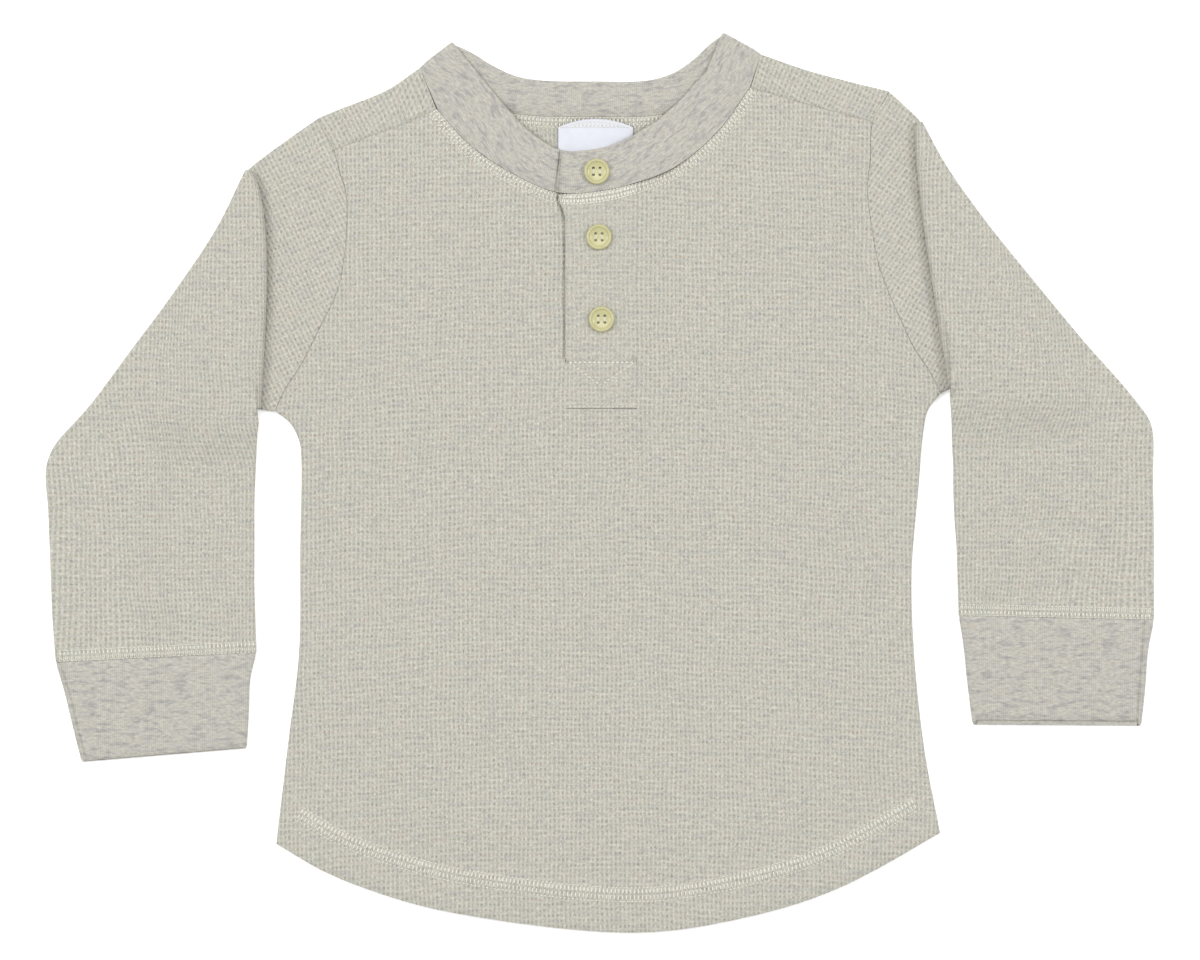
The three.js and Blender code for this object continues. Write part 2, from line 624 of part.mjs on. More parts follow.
function cuffGeometry(side) {
  const { rows, under } = CUFFS[side];
  const { out } = SLEEVES[side];
  const half = (CUFF_WALL + AIR) / 2;
  const reach = half + CUFF_WALL / 2;
  const rings = rows.map((row, k) => {
    const inner = new THREE.Vector3(row.inX - out * -reach, row.inY, 0);
    const outer = new THREE.Vector3(row.outX - out * reach, row.outY, 0);
    const line = range(CUFF_STEPS + 1).map((step) => inner.clone().lerp(outer, step / CUFF_STEPS));
    const loop = ring(line, out, 0, 0, () => reach, half);
    const last = k === rows.length - 1;
    loop.forEach((point, n) => {
      if (last && n > CUFF_STEPS + 1) {
        point.y -= under;
      }
    });
    return loop;
  });
  return wall(rings, () => CUFF_WALL / 2, true);
}

function buttonGeometry() {
  const radius = BUTTON.diameter / 2;
  const floor = BUTTON.height - BUTTON.dish;
  const profile = [
    [0, 0], [radius - BUTTON.edge, 0], [radius, BUTTON.chamfer], [radius, BUTTON.height - BUTTON.edge],
    [radius - BUTTON.edge, BUTTON.height], [radius - BUTTON.rim, BUTTON.height],
    [radius - BUTTON.rim - BUTTON.slope, floor], [0, floor],
  ].map(([r, z]) => new THREE.Vector2(r, z));
  const turned = new THREE.LatheGeometry(profile, BUTTON.segments);
  turned.rotateX(Math.PI / 2);
  const holes = [];
  [-1, 1].forEach((a) => [-1, 1].forEach((b) => {
    const bore = BUTTON.hole / 2;
    const hole = new THREE.CylinderGeometry(bore, bore, BUTTON.height * 3, BUTTON.holeSegments);
    hole.rotateX(Math.PI / 2);
    hole.translate(a * BUTTON.holePitch / 2, b * BUTTON.holePitch / 2, 0);
    holes.push(solid(hole));
  }));
  return geometryOf(holes.reduce((rest, hole) => rest.subtract(hole), solid(outward(welded(turned)))));
}

const shirt = new THREE.Group();

function add(name, geometry, color, roughness, position = [0, 0, 0]) {
  const material = new THREE.MeshStandardMaterial({ color, roughness, metalness: 0 });
  const mesh = new THREE.Mesh(geometry, material);
  mesh.name = name;
  mesh.position.set(...position);
  shirt.add(mesh);
}

add('back', backGeometry(), TAN_KNIT, 0.95);
add('front', frontGeometry(), TAN_KNIT, 0.95);
add('sleeve_left', sleeveGeometry('left'), TAN_KNIT, 0.95);
add('sleeve_right', sleeveGeometry('right'), TAN_KNIT, 0.95);
add('cuff_left', cuffGeometry('left'), TAN_JERSEY, 0.95);
add('cuff_right', cuffGeometry('right'), TAN_JERSEY, 0.95);
add('neckband', bandGeometry(), TAN_JERSEY, 0.95);
add('placket_under', placketGeometry(
  FRONT_LEVEL, SLOT.left + SEAM, SLOT.right - SEAM, PLACKET.slotFoot + SEAM, 0,
), TAN_KNIT, 0.95);
add('placket_upper', placketGeometry(
  PLACKET_LEVEL, PLACKET.left, PLACKET.right, PLACKET.foot, PLACKET.flare,
), TAN_KNIT, 0.95);
add('label', labelGeometry(), LABEL_WHITE, 0.7);
BUTTONS.forEach(({ x, y, on }, k) => {
  const under = on === 'band' ? UPPER_BAND_LEVEL + RIB_WALL / 2 : PLACKET_LEVEL + KNIT_WALL / 2;
  const highest = Math.max(...[-1, 0, 1].map((side) => lift(x, y + side * BUTTON.diameter / 2)));
  add(`button_${k + 1}`, buttonGeometry(), BUTTON_YELLOW, 0.35, [x, y, under + AIR + highest]);
});

export default shirt;
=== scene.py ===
"""A toddler's long-sleeved henley shirt in oatmeal waffle knit, laid flat with its front up."""
import math

import bmesh
import bpy
import numpy as np
from bpy.props import FloatProperty, FloatVectorProperty, PointerProperty
from mathutils import Matrix, Vector
from mathutils.bvhtree import BVHTree


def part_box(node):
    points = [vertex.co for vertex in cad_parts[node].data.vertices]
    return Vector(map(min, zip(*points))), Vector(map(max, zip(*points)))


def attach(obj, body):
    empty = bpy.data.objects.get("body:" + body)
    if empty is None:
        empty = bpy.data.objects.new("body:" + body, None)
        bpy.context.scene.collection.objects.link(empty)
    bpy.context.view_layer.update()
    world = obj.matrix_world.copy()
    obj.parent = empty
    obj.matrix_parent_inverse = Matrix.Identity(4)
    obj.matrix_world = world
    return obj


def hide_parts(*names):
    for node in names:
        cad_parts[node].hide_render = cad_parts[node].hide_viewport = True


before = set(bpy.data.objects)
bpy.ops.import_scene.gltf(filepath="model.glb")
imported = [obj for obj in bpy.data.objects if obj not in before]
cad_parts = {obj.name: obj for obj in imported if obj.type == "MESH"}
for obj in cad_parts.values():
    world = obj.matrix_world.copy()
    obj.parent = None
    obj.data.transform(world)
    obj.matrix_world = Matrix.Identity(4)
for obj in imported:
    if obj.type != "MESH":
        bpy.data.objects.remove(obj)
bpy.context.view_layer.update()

bl_info = {
    "name": "Henley shirt",
    "version": (1, 0, 0),
    "blender": (4, 5, 0),
    "location": "View3D > Sidebar > Shirt",
    "description": "Builds a waffle-knit henley shirt that lies flat with its front up",
    "category": "Add Mesh",
}

# Everything below is in millimetres until a mesh is written, in the frame of the solids:
# +X to the wearer's left, +Y to the collar, +Z up, the back lying on z = 0.
MM = 0.001
KNIT = 1.2
RIB = 1.8
CUFF = 1.6
HEM = 1.8
TAPE = 0.6
AIR = 0.3
BUTT = 0.06                 # two sewn edges, as near as they may lie
PUFF = 2.0
PUFF_EDGE = 45.0
PUFF_BOX = {"left": -122.0, "right": 128.0, "top": 176.0, "hem": -206.0}
HEM_RISE = 39.0
HALF_CHEST = 150.0
SHOULDER_DIP = 0.5          # how far the seams draw the cloth down, at the shoulders and at the neck
NECK_DIP = 0.3
HEM_TURN = 22.0             # the hem's width
ROW_BEND = 6.0              # how far the rows of knit drop from the middle to the sides
EDGE_SPAN = 10.0            # width beside a side edge over which the columns make room for its roll
EDGE_COLUMNS = 6            # columns that turn down round each side of the front, and how far in degrees
SIDE_TURN = 150.0
ARMHOLE_TURN = 38.0
SHOULDER_GATHER = 1.5       # above 1, a shoulder's columns gather towards the armhole

# x, y of each side, from the hem corner to the armpit
SIDES = {
    "left": ((-149, -165.5), (-143.4, -118), (-138.5, -77), (-138, -30), (-137.5, 11), (-138.5, 20),
             (-142.8, 28.2), (-149.2, 33.3)),
    "right": ((156.5, -160.5), (149.3, -122), (144.5, -77), (143.5, -40), (146.5, -3), (149, 25),
              (151, 34), (156.5, 41.5)),
}
HEM_EDGE = ((-149, -165.5), (-127.5, -178), (-105.5, -187), (-74, -196), (-6, -205.5),
            (32, -205.5), (81, -196), (107.5, -187), (126, -178), (156.5, -160.5))
# x, y of each armhole, from the armpit to the shoulder fold; the last row but one is where
# the forward shoulder seam meets it
ARMHOLES = {
    "left": ((-149.2, 33.3), (-145, 43), (-138, 54), (-128, 74), (-121, 88.5), (-118, 102.5),
             (-116.5, 119.5), (-117, 134), (-120, 144), (-122.5, 153.5), (-129.5, 167)),
    "right": ((156.5, 41.5), (152.5, 50), (144, 63.5), (137.5, 77.5), (132.5, 89), (128, 102),
              (125, 119), (123, 135.5), (124.5, 149.5), (125.5, 166.5), (132.5, 179.5)),
}
SHOULDER_FOLDS = {
    "left": ((-129.5, 167), (-120, 171), (-97, 180.3), (-82.8, 190)),
    "right": ((74.1, 196.4), (94, 189.4), (114, 184), (132.5, 179.5)),
}
FORWARD_SEAMS = {
    "left": ((-122.5, 153.5), (-106, 160), (-92, 165), (-75.3, 172.2)),
    "right": ((69.4, 182.4), (89, 176.5), (107, 171.5), (125.5, 166.5)),
}
# Neckband sections: x, y of the seam below it, then x, y of its top edge
FRONT_BAND = ((-75, 172.5, -55, 187.5), (-60.5, 156.5, -41.5, 171.5), (-41.5, 143.5, -31, 161),
              (-19, 134, -17.5, 153.5), (-1, 134.5, -6, 153.5), (15, 138, 4.5, 155.5),
              (34, 145.5, 20.5, 163.5), (54, 162, 34, 174), (69, 182.5, 49, 190))
BACK_BAND = ((-82.3, 190.2, -66.8, 202.1), (-73.5, 183, -59.5, 198.8), (-60.5, 175.8, -49.5, 192.7),
             (-46, 171.6, -39, 187.9), (-29.5, 169.4, -27.5, 185.9), (-2, 169, -2, 185.4),
             (23, 169.4, 22.5, 185.9), (40.5, 172.4, 34.5, 189.6), (56.5, 179.7, 43.5, 195.8),
             (67, 189.8, 50.5, 202.4), (73.7, 196.4, 55.7, 206.2))
UPPER_END = 3.0             # rows of FRONT_BAND: the end that lies on top starts here
UNDER_END = 5.0             # and the other end runs under it to here
RAMP = (1.75, 1.5)          # rows from and over which the upper end climbs onto the under one

# Each sleeve: the way it lies, half the pleat's angle, the fold's bend to the body, the
# head's swell, the tilt of its knit in degrees, and x, y of the outer and the inner end of
# lines across it from the pleat to the cuff
SLEEVES = {
    "left": {"out": -1, "turn": 13, "bow": 5.5, "swell": 0.4, "tilt": 26, "rows": (
        (-163, 144.2, -158.5, 34.5), (-176.5, 117, -156.8, 29), (-195.5, 89, -157.5, 22.5),
        (-216, 61.5, -158, 14.5), (-235, 36, -158.5, 4), (-251.5, 17, -159, -8),
        (-255, 7, -159, -19), (-254, -12, -159, -30.5), (-253, -37.5, -159, -46.5),
        (-252, -62.5, -158.5, -63.5), (-250.5, -82, -158, -77.5))},
    "right": {"out": 1, "turn": 16, "bow": 2.5, "swell": 0.3, "tilt": -32, "rows": (
        (148, 166.6, 163, 45), (159, 146.5, 161, 39.5), (177.5, 120.5, 161.3, 34),
        (199.5, 93.5, 161.7, 27), (222.5, 66, 162, 17.5), (246.5, 38.5, 162.5, 8.5),
        (253.8, 27, 162.5, -0.5), (254.5, 1.5, 163, -14.5), (255, -21.5, 164, -28.5),
        (255, -44.5, 164.5, -44.5), (255, -62.5, 165, -60.5))},
}
# Lines across each cuff, from its seam to its edge, how far its under layer shows past it, and
# x at the top and at the bottom of its own seam
CUFFS = {
    "left": {"under": 0.6, "seam": (-248.5, -236.5), "rows": (
        (-250.5, -82.1, -158, -77.6), (-246.6, -95, -160.8, -89.5),
        (-242.7, -111, -161.5, -105), (-238.5, -127.2, -162.5, -121.2))},
    "right": {"under": 2.3, "seam": (250.6, 247.2), "rows": (
        (255, -62.6, 165, -60.6), (252.3, -76.5, 167.2, -74.3), (251, -92.5, 169, -91),
        (249.1, -109, 171.4, -108.5))},
}
HEAD_RINGS = 24
PLEAT_DRAPE = 26.0
PLEAT_SHELF = 4.0
PLEAT_INSET = 20.0

FRONT_OUT = 2 * KNIT + AIR
TUBE_REACH = KNIT + AIR / 2
PLEAT_RADIUS = TUBE_REACH + AIR / 2
BACK_BAND_LEVEL = RIB / 2
UNDER_BAND_LEVEL = RIB + AIR + RIB / 2
UPPER_BAND_LEVEL = UNDER_BAND_LEVEL + RIB + AIR
PLACKET_LEVEL = FRONT_OUT - KNIT / 2 + KNIT + AIR
PLACKET = {"left": -15.2, "right": 16.8, "foot": 34.7, "slot_foot": 56.0, "flare": 3.6, "flare_from": 120.0}
SLOT = {"left": -16.0, "right": 16.5}
LABEL = {"left": -19.0, "width": 34.0, "foot": 150.0, "corner": 164.2, "arch": 3.8}
HEM_STITCHES = 17.4         # from an edge or a seam to the middle of the stitches beside it
NECK_STITCHES = 2.6
CUFF_STITCHES = 2.8
# The stitching at the placket's foot: a line across, and a V from its ends down to a point
BOX = {"line": 55.9, "point": 45.3, "middle": 0.3, "slope": 0.7}
BUTTONS = ((-1.5, 143.5), (-0.5, 113.5), (0.7, 75.7))
HOLES = (-1.5, 1.5)         # how far a button's holes are from its middle, both ways
HOLE_RADIUS = 0.66

# Soft creases, pressed or raised: x, y of both ends, half width, height
FRONT_CREASES = (
    (-138, 34, -126.5, -3, 4, -1.0), (-139, 33, -127, 10, 9, -0.5), (-134.5, 27, -131.5, -6, 3, 2.2),
    (-121, 30, -120, -14, 4.5, 2.0), (-136, -31.5, -100, -27, 3, 1.8), (140, 46, 122, 40, 3.5, 1.6),
    (141, 34, 120, 26, 4, 1.4), (-141, 30, -126, 52, 4.5, -0.6), (-138, -26, -101, -21, 4, -0.8),
    (-134, -38, -108, -33, 5, 0.4),
    (118, -57, 131, -64, 4, -0.7), (143, 52, 126, 78, 4.5, -0.6), (135, 40, 118, 56, 6, 0.4),
    (-124, 147, -117, 130, 4, -0.8), (-112, 150, -104, 128, 7, 0.5), (122, 160, 118, 120, 4.5, -0.7),
    (112, 158, 109, 124, 6, 0.45),
    (-60, -120, -20, -150, 12, -0.5), (40, -118, 86, -150, 12, -0.5), (60, -40, 96, -70, 13, -0.4),
    (-90, -70, -60, -96, 12, 0.5), (-126, -150, -96, -172, 8, -0.45), (96, -150, 126, -164, 8, -0.45),
    (-70, 120, -40, 80, 14, 0.45), (60, 130, 84, 92, 14, 0.5), (24, 20, 60, 6, 12, -0.4),
    (-50, 30, -18, 14, 12, 0.4),
)
SLEEVE_CREASES = {
    "left": ((-168, 44, -200, 20, 7, -0.6), (-236, 22, -200, 4, 8, -0.6), (-250, 0, -214, -10, 7, 0.5),
             (-164, 0, -190, -12, 7, -0.5), (-246, -50, -214, -66, 7, -0.6), (-166, -52, -196, -62, 7, 0.5),
             (-232, -70, -180, -66, 5, -0.6), (-190, 84, -176, 50, 9, 0.6),
             (-220, 40, -196, 30, 8, 0.5), (-184, -70.6, -160, -66.6, 1.8, -0.9),
             (-240, -60, -190, -57, 3.5, 0.8)),
    "right": ((172, 40, 200, 22, 8, -0.6), (240, 26, 206, 10, 8, 0.5), (184, -16, 252, -44, 5, -1.0),
              (186, -27, 252, -55, 5, 0.8), (168, -10, 190, -24, 7, -0.5), (210, -6, 246, -12, 8, 0.5),
              (176, -48, 236, -52, 5, -0.6), (251.2, -36, 250.2, -66, 0.8, -1.2),
              (182, 96, 176, 60, 9, 0.6), (214, 60, 196, 44, 8, -0.5), (170, -53.6, 218, -53, 1.8, -1.0),
              (172, -49, 226, -48, 2.6, 0.8)),
}
BACK_CREASES = (
    (-130, 30, -96, 6, 8, 0.7), (134, 34, 104, 8, 8, 0.7), (-70, 120, -30, 60, 14, 0.8),
    (66, 128, 34, 70, 14, 0.8), (-40, -20, -70, -80, 16, 0.9), (30, 0, 60, -70, 16, 0.8),
    (-10, 150, 8, 110, 12, 0.8), (-100, -110, -70, -160, 12, 0.8), (88, -100, 104, -156, 12, 0.8),
    (0, -120, 20, -176, 12, 0.7),
)


def linear(code):
    """An sRGB hex colour as the linear values that a shader takes."""
    parts = [int(code[k:k + 2], 16) / 255 for k in (1, 3, 5)]
    return tuple(c / 12.92 if c <= 0.04045 else ((c + 0.055) / 1.055) ** 2.4 for c in parts) + (1.0,)


def ease(t):
    """0 to 1 with soft ends."""
    t = np.clip(t, 0, 1)
    return t * t * (3 - 2 * t)


def unit(vectors):
    """Each vector at length 1."""
    return vectors / np.maximum(np.linalg.norm(vectors, axis=-1, keepdims=True), 1e-9)


def lengths(points):
    """The length from the first of a run of points to each one."""
    return np.concatenate([[0], np.cumsum(np.linalg.norm(np.diff(points, axis=0), axis=1))])


def curve(rows, shares, even=True):
    """Points at shares 0 to 1 of a smooth curve through the rows, by length or by row."""
    p = np.array(rows, float)
    ends = np.vstack([2 * p[0] - p[1], p, 2 * p[-1] - p[-2]])
    t = np.linspace(0, 1, 24, endpoint=False)[:, None]
    fine = []
    for a, b, c, d in zip(ends, ends[1:], ends[2:], ends[3:]):
        before, here, after = (max(float(np.dot(q, q)) ** 0.25, 1e-4) for q in (b - a, c - b, d - c))
        start = ((b - a) / before - (c - a) / (before + here) + (c - b) / here) * here
        finish = ((c - b) / here - (d - b) / (here + after) + (d - c) / after) * here
        fine.append(b + start * t + (3 * (c - b) - 2 * start - finish) * t**2
                    + (2 * (b - c) + start + finish) * t**3)
    fine = np.vstack(fine + [p[-1:]])
    run = lengths(fine) if even else np.arange(len(fine), dtype=float)
    run /= run[-1]
    return np.stack([np.interp(shares, run, column) for column in fine.T], axis=-1)


def runs(points):
    """How far along a run of points each one lies, 0 to 1."""
    return lengths(points) / lengths(points)[-1]


def leftward(points):
    """The way across a run of x, y points, to its left."""
    along = unit(np.gradient(points, axis=0))
    return np.stack([-along[:, 1], along[:, 0]], axis=-1)


def strip_edges(rows, shares):
    """x, y at shares of both edges of a strip whose rows hold x, y on one edge, then on the other."""
    rows = np.array(rows, float)
    return curve(rows[:, :2], shares, even=False), curve(rows[:, 2:], shares, even=False)


def patch(bottom, top, left, right):
    """A grid of points between four edges that meet at its corners."""
    v = (runs(left) + runs(right)) / 2
    u = runs(bottom)[:, None] * (1 - v) + runs(top)[:, None] * v
    u, v = u[..., None], v[None, :, None]
    grid = bottom[:, None] * (1 - v) + top[:, None] * v
    by_left, by_right = np.maximum(1 - 2 * u, 0) ** 2, np.maximum(2 * u - 1, 0) ** 2
    return grid + (left[None] - grid[:1]) * by_left + (right[None] - grid[-1:]) * by_right


def lift(x, y):
    """How far the front and what is sewn to it stand above their flat level."""
    hem = PUFF_BOX["hem"] + HEM_RISE * (x / HALF_CHEST) ** 2
    across = ease((x - PUFF_BOX["left"]) / PUFF_EDGE) * ease((PUFF_BOX["right"] - x) / PUFF_EDGE)
    return PUFF * across * ease((PUFF_BOX["top"] - y) / PUFF_EDGE) * ease((y - hem) / PUFF_EDGE)


def creased(x, y, creases):
    """The height that soft troughs and ridges add at x, y."""
    total = np.zeros(np.shape(x))
    for x0, y0, x1, y1, width, height in creases:
        along = np.array([x1 - x0, y1 - y0], float)
        length = float(np.hypot(*along))
        along /= length
        s = (x - x0) * along[0] + (y - y0) * along[1]
        bend = 0.08 * length * np.sin(math.pi * np.clip(s / length, 0, 1))
        t = (y - y0) * along[0] - (x - x0) * along[1] - bend
        ends = ease((s + 0.2 * length) / (0.45 * length)) * ease((1.2 * length - s) / (0.45 * length))
        total += height * ends * np.exp(-((t / width) ** 2))
    return total


def rumple(x, y, seed):
    """The slight unevenness of cloth laid down by hand."""
    rng = np.random.default_rng(seed)
    total = np.zeros(np.shape(x))
    for _ in range(14):
        angle, wave, phase = rng.uniform(0, math.pi), rng.uniform(24, 70), rng.uniform(0, 2 * math.pi)
        total += np.sin((x * math.cos(angle) + y * math.sin(angle)) * 2 * math.pi / wave + phase)
    return total / 14


def placket_left(y):
    """The placket's free edge, which widens towards the neckband."""
    return PLACKET["left"] - PLACKET["flare"] * ease((y - PLACKET["flare_from"]) / 14)


def beside_placket(x, y):
    """The front rises onto the layers inside the placket's sewn edges, and dips along its free one."""
    right = np.maximum(x - PLACKET["right"], 0)
    below = np.maximum(PLACKET["foot"] - y, 0)
    left = np.maximum(PLACKET["left"] - x, 0)
    away = np.sqrt(right**2 + below**2 + left**2)
    sewn = np.where(x < PLACKET["left"], ease((60 - y) / 6), 1) * ease((150 - y) / 12)
    rise = 1.4 * np.exp(-((away / 8) ** 2)) * ease((away - 0.02) / 0.22) * sewn
    free = ease((y - 57) / 3) * ease((138 - y) / 3)
    gap = 1.6 * np.exp(-(((x - placket_left(y)) / 1.15) ** 2)) * free
    hollow = 0.35 * np.exp(-(((x - placket_left(y) + 3) / 4) ** 2)) * free
    return rise - gap - hollow


def front_height(x, y):
    """The outside of the front."""
    loose = lift(x, y) / PUFF
    folds = creased(x, y, FRONT_CREASES) * (0.35 + 0.65 * loose)
    folds += 0.9 * rumple(x, y, 4) * (0.15 + 0.85 * loose)
    by_placket = ease((x + 24) / 6) * ease((26 - x) / 6) * ease((y - 26) / 6)
    return FRONT_OUT + lift(x, y) + folds * (1 - by_placket) + beside_placket(x, y)


def cloth(name, points, weave, closed=False, thick=None, caps=False):
    """A mesh on a grid of points in mm. weave is each point's place on the knit; a grid that is
    closed joins its last row to its first; points that are not numbers leave a hole."""
    n, m = points.shape[:2]
    bm = bmesh.new()
    bmesh.ops.create_grid(bm, x_segments=n - 1, y_segments=m - 1, size=0.5)
    bm.verts.ensure_lookup_table()
    where = np.array([v.co[:2] for v in bm.verts])
    i = np.rint((where[:, 0] + 0.5) * (n - 1)).astype(int)
    j = np.rint((where[:, 1] + 0.5) * (m - 1)).astype(int)
    place, knit = points[i, j] * MM, weave[i, j]
    layer = bm.loops.layers.uv.new("weave")
    for face in bm.faces:
        for loop in face.loops:
            loop[layer].uv = knit[loop.vert.index]
    if thick is not None:
        group = bm.verts.layers.deform.verify()
        for v, weight in zip(bm.verts, thick[i, j]):
            v[group][0] = float(weight)
    gone = []
    for v, co in zip(bm.verts, place):
        if np.isnan(co).any():
            gone.append(v)
        else:
            v.co = co
    bmesh.ops.delete(bm, geom=gone, context="VERTS")
    if closed:
        bmesh.ops.remove_doubles(bm, verts=bm.verts[:], dist=0.02 * MM)
    if caps:
        bmesh.ops.holes_fill(bm, edges=[e for e in bm.edges if e.is_boundary], sides=0)
    if closed:
        bmesh.ops.recalc_face_normals(bm, faces=bm.faces[:])
    return finished(name, bm)


def finished(name, bm):
    """The bmesh as an object with smooth faces."""
    mesh = bpy.data.meshes.new(name)
    bm.to_mesh(mesh)
    bm.free()
    mesh.shade_smooth()
    piece = bpy.data.objects.new(name, mesh)
    bpy.context.scene.collection.objects.link(piece)
    return piece


def walled(piece, thickness, rim=0.1, varied=False):
    """Gives a sheet its thickness inwards, with a rounded rim."""
    wall = piece.modifiers.new("wall", "SOLIDIFY")
    wall.thickness = thickness * MM
    wall.offset = -1
    if varied:
        wall.vertex_group = piece.vertex_groups.new(name="thick").name
    edge = piece.modifiers.new("rim", "BEVEL")
    edge.width = rim * MM
    edge.segments = 2
    edge.limit_method = "ANGLE"
    edge.angle_limit = math.radians(55)
    return piece


def dressed(piece, material, slot=None, *nodes):
    """Puts the material on, and hands the piece to the frame."""
    piece.data.materials.append(material)
    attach(piece, "root")
    if nodes:
        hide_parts(*nodes)
    return piece


def slab(mid, half, rounds=4):
    """A grid of middle points as closed sections with round edges, half to each side; half is
    one number, or one for each point across."""
    half = np.broadcast_to(half, mid.shape[1])
    along = np.gradient(mid, axis=0)
    across = np.gradient(mid, axis=1)
    normal = unit(np.cross(along, across))
    low, high = unit(mid[:, 0] - mid[:, 1]), unit(mid[:, -1] - mid[:, -2])
    turns = np.linspace(0, math.pi, rounds + 2)[1:-1]
    rims = [np.stack([mid[:, k] + half[k] * (normal[:, k] * math.cos(t) * s + way * math.sin(t))
                      for t in turns], axis=1) for k, way, s in ((-1, high, 1), (0, low, -1))]
    side = normal * half[:, None]
    loop = np.concatenate([mid + side, rims[0], (mid - side)[:, ::-1], rims[1]], axis=1)
    return np.concatenate([loop, loop[:, :1]], axis=1)


def loops_weave(points):
    """Knit places on closed sections: the length round them, and the length along their middle."""
    steps = np.linalg.norm(np.diff(points, axis=1), axis=2)
    v = np.concatenate([np.zeros((len(points), 1)), np.cumsum(steps, axis=1)], axis=1)
    u = lengths(points[:, :-1].mean(axis=1))
    return np.stack([np.repeat(u[:, None], points.shape[1], axis=1), v], axis=-1)


# Body panels

def side_edge(side, whole):
    """x, y up one side of a panel, to the end of the armhole or to the forward seam."""
    rows = ARMHOLES[side]
    share = 1.0 if whole else (len(rows) - 2) / (len(rows) - 1)
    low = curve(SIDES[side], 1 - (1 - np.linspace(0, 1, 84)) ** 1.15)
    high = curve(rows, np.linspace(0, share, 56), even=False)[1:]
    return np.vstack([low, high]), len(low)


def panel(band, folds, whole, columns):
    """x, y over a body panel, the row of its armpit, and how many columns each shoulder has.
    columns holds the x at which columns meet the neckband."""
    count = 26
    fine = np.linspace(0, 1, 400)
    shares = np.interp(columns, strip_edges(band, fine)[0][:, 0], fine)
    seam, top = strip_edges(band, shares)
    neck = seam + unit(seam - top) * BUTT
    ends = np.linspace(0, 1, count) ** SHOULDER_GATHER
    run = np.vstack([curve(folds["left"], ends)[:-1], neck, curve(folds["right"], 1 - ends[::-1])[1:]])
    edge = curve(HEM_EDGE, fine)
    spread = np.interp(run[:, 0], (run[0, 0], -30, 30, run[-1, 0]), (edge[0, 0], -30, 30, edge[-1, 0]))
    hem = np.stack([spread, np.interp(spread, edge[:, 0], edge[:, 1])], axis=-1)
    left, armpit = side_edge("left", whole)
    right, _ = side_edge("right", whole)
    left[-1], right[-1] = run[0], run[-1]
    return patch(hem, run, left, right), armpit, count


def from_end(grid, end):
    """How far each point of a grid lies from its column's first or last point."""
    return np.linalg.norm(grid - grid[:, end][:, None], axis=2)


def hem_weight(grid):
    """1 on the turned-up hem, the knit's share of its thickness elsewhere."""
    return KNIT / HEM + (1 - KNIT / HEM) * ease((HEM_TURN - from_end(grid, 0)) / 1.6)


def rolled(points, armpit):
    """Adds columns to both sides that turn down round the edge, furthest below the armpit."""
    radius = TUBE_REACH
    rows = np.arange(points.shape[1])
    full = math.radians(SIDE_TURN) * ease((armpit + 1 - rows) / 5)
    full += math.radians(ARMHOLE_TURN) * ease((rows - armpit + 2) / 5)
    out = []
    for edge, near in ((points[0], points[2]), (points[-1], points[-3])):
        away = unit((edge - near) * np.array([1, 1, 0]))
        turns = np.linspace(0, 1, EDGE_COLUMNS + 1)[1:, None] * full
        centre = edge - away * (radius * np.sin(np.minimum(full, math.pi / 2)))[:, None]
        ring = [centre + away * (radius * np.sin(t))[:, None] + (radius * (np.cos(t) - 1))[:, None]
                * np.array([0, 0, 1]) for t in turns]
        out.append((centre, ring))
    inner = points.copy()
    for (centre, _), edge in zip(out, (points[0], points[-1])):
        beside = np.linalg.norm((points - edge)[..., :2], axis=-1, keepdims=True)
        inner += (centre - edge) * np.clip(1 - beside / EDGE_SPAN, 0, 1)
    return np.stack(out[0][1][::-1] + list(inner) + out[1][1], axis=0)


def panel_weave(points):
    """Knit places on a body panel, whose rows drop a little towards both sides."""
    drop = np.abs(np.diff(points[..., 2], axis=0))
    drop[10:-10] = 0
    middle = len(points) // 2
    extra = np.zeros(points.shape[:2])
    extra[middle + 1:] = np.nancumsum(drop[middle:], axis=0)
    extra[:middle] = -np.nancumsum(drop[:middle][::-1], axis=0)[::-1]
    x, y = points[..., 0], points[..., 1]
    return np.stack([x + extra, y + ROW_BEND * (x / HALF_CHEST) ** 2], axis=-1)


def cut_front(piece):
    """Cuts the front open under the placket, and draws it down close beside the placket's foot."""
    bm = bmesh.new()
    bm.from_mesh(piece.data)
    foot = PLACKET["foot"]
    cuts = [((SLOT[side], 0, 0), (1, 0, 0)) for side in SLOT]
    cuts += [((0, y, 0), (0, 1, 0)) for y in (PLACKET["slot_foot"], foot - 0.02, foot - 0.24, foot - 1.2)]
    for place, way in cuts:
        bmesh.ops.bisect_plane(bm, geom=bm.verts[:] + bm.edges[:] + bm.faces[:],
                               plane_co=Vector(place) * MM, plane_no=way)
    for v in bm.verts:
        x, y = v.co.x / MM, v.co.y / MM
        if SLOT["left"] - 8 < x < SLOT["right"] + 8 and foot - 2 < y < foot + 1:
            v.co.z = float(front_height(x, y)) * MM

    def in_slot(face):
        x, y, _ = face.calc_center_median() / MM
        return SLOT["left"] < x < SLOT["right"] and y > PLACKET["slot_foot"]

    bmesh.ops.delete(bm, geom=[face for face in bm.faces if in_slot(face)], context="FACES")
    bm.to_mesh(piece.data)
    bm.free()
    piece.data.shade_smooth()


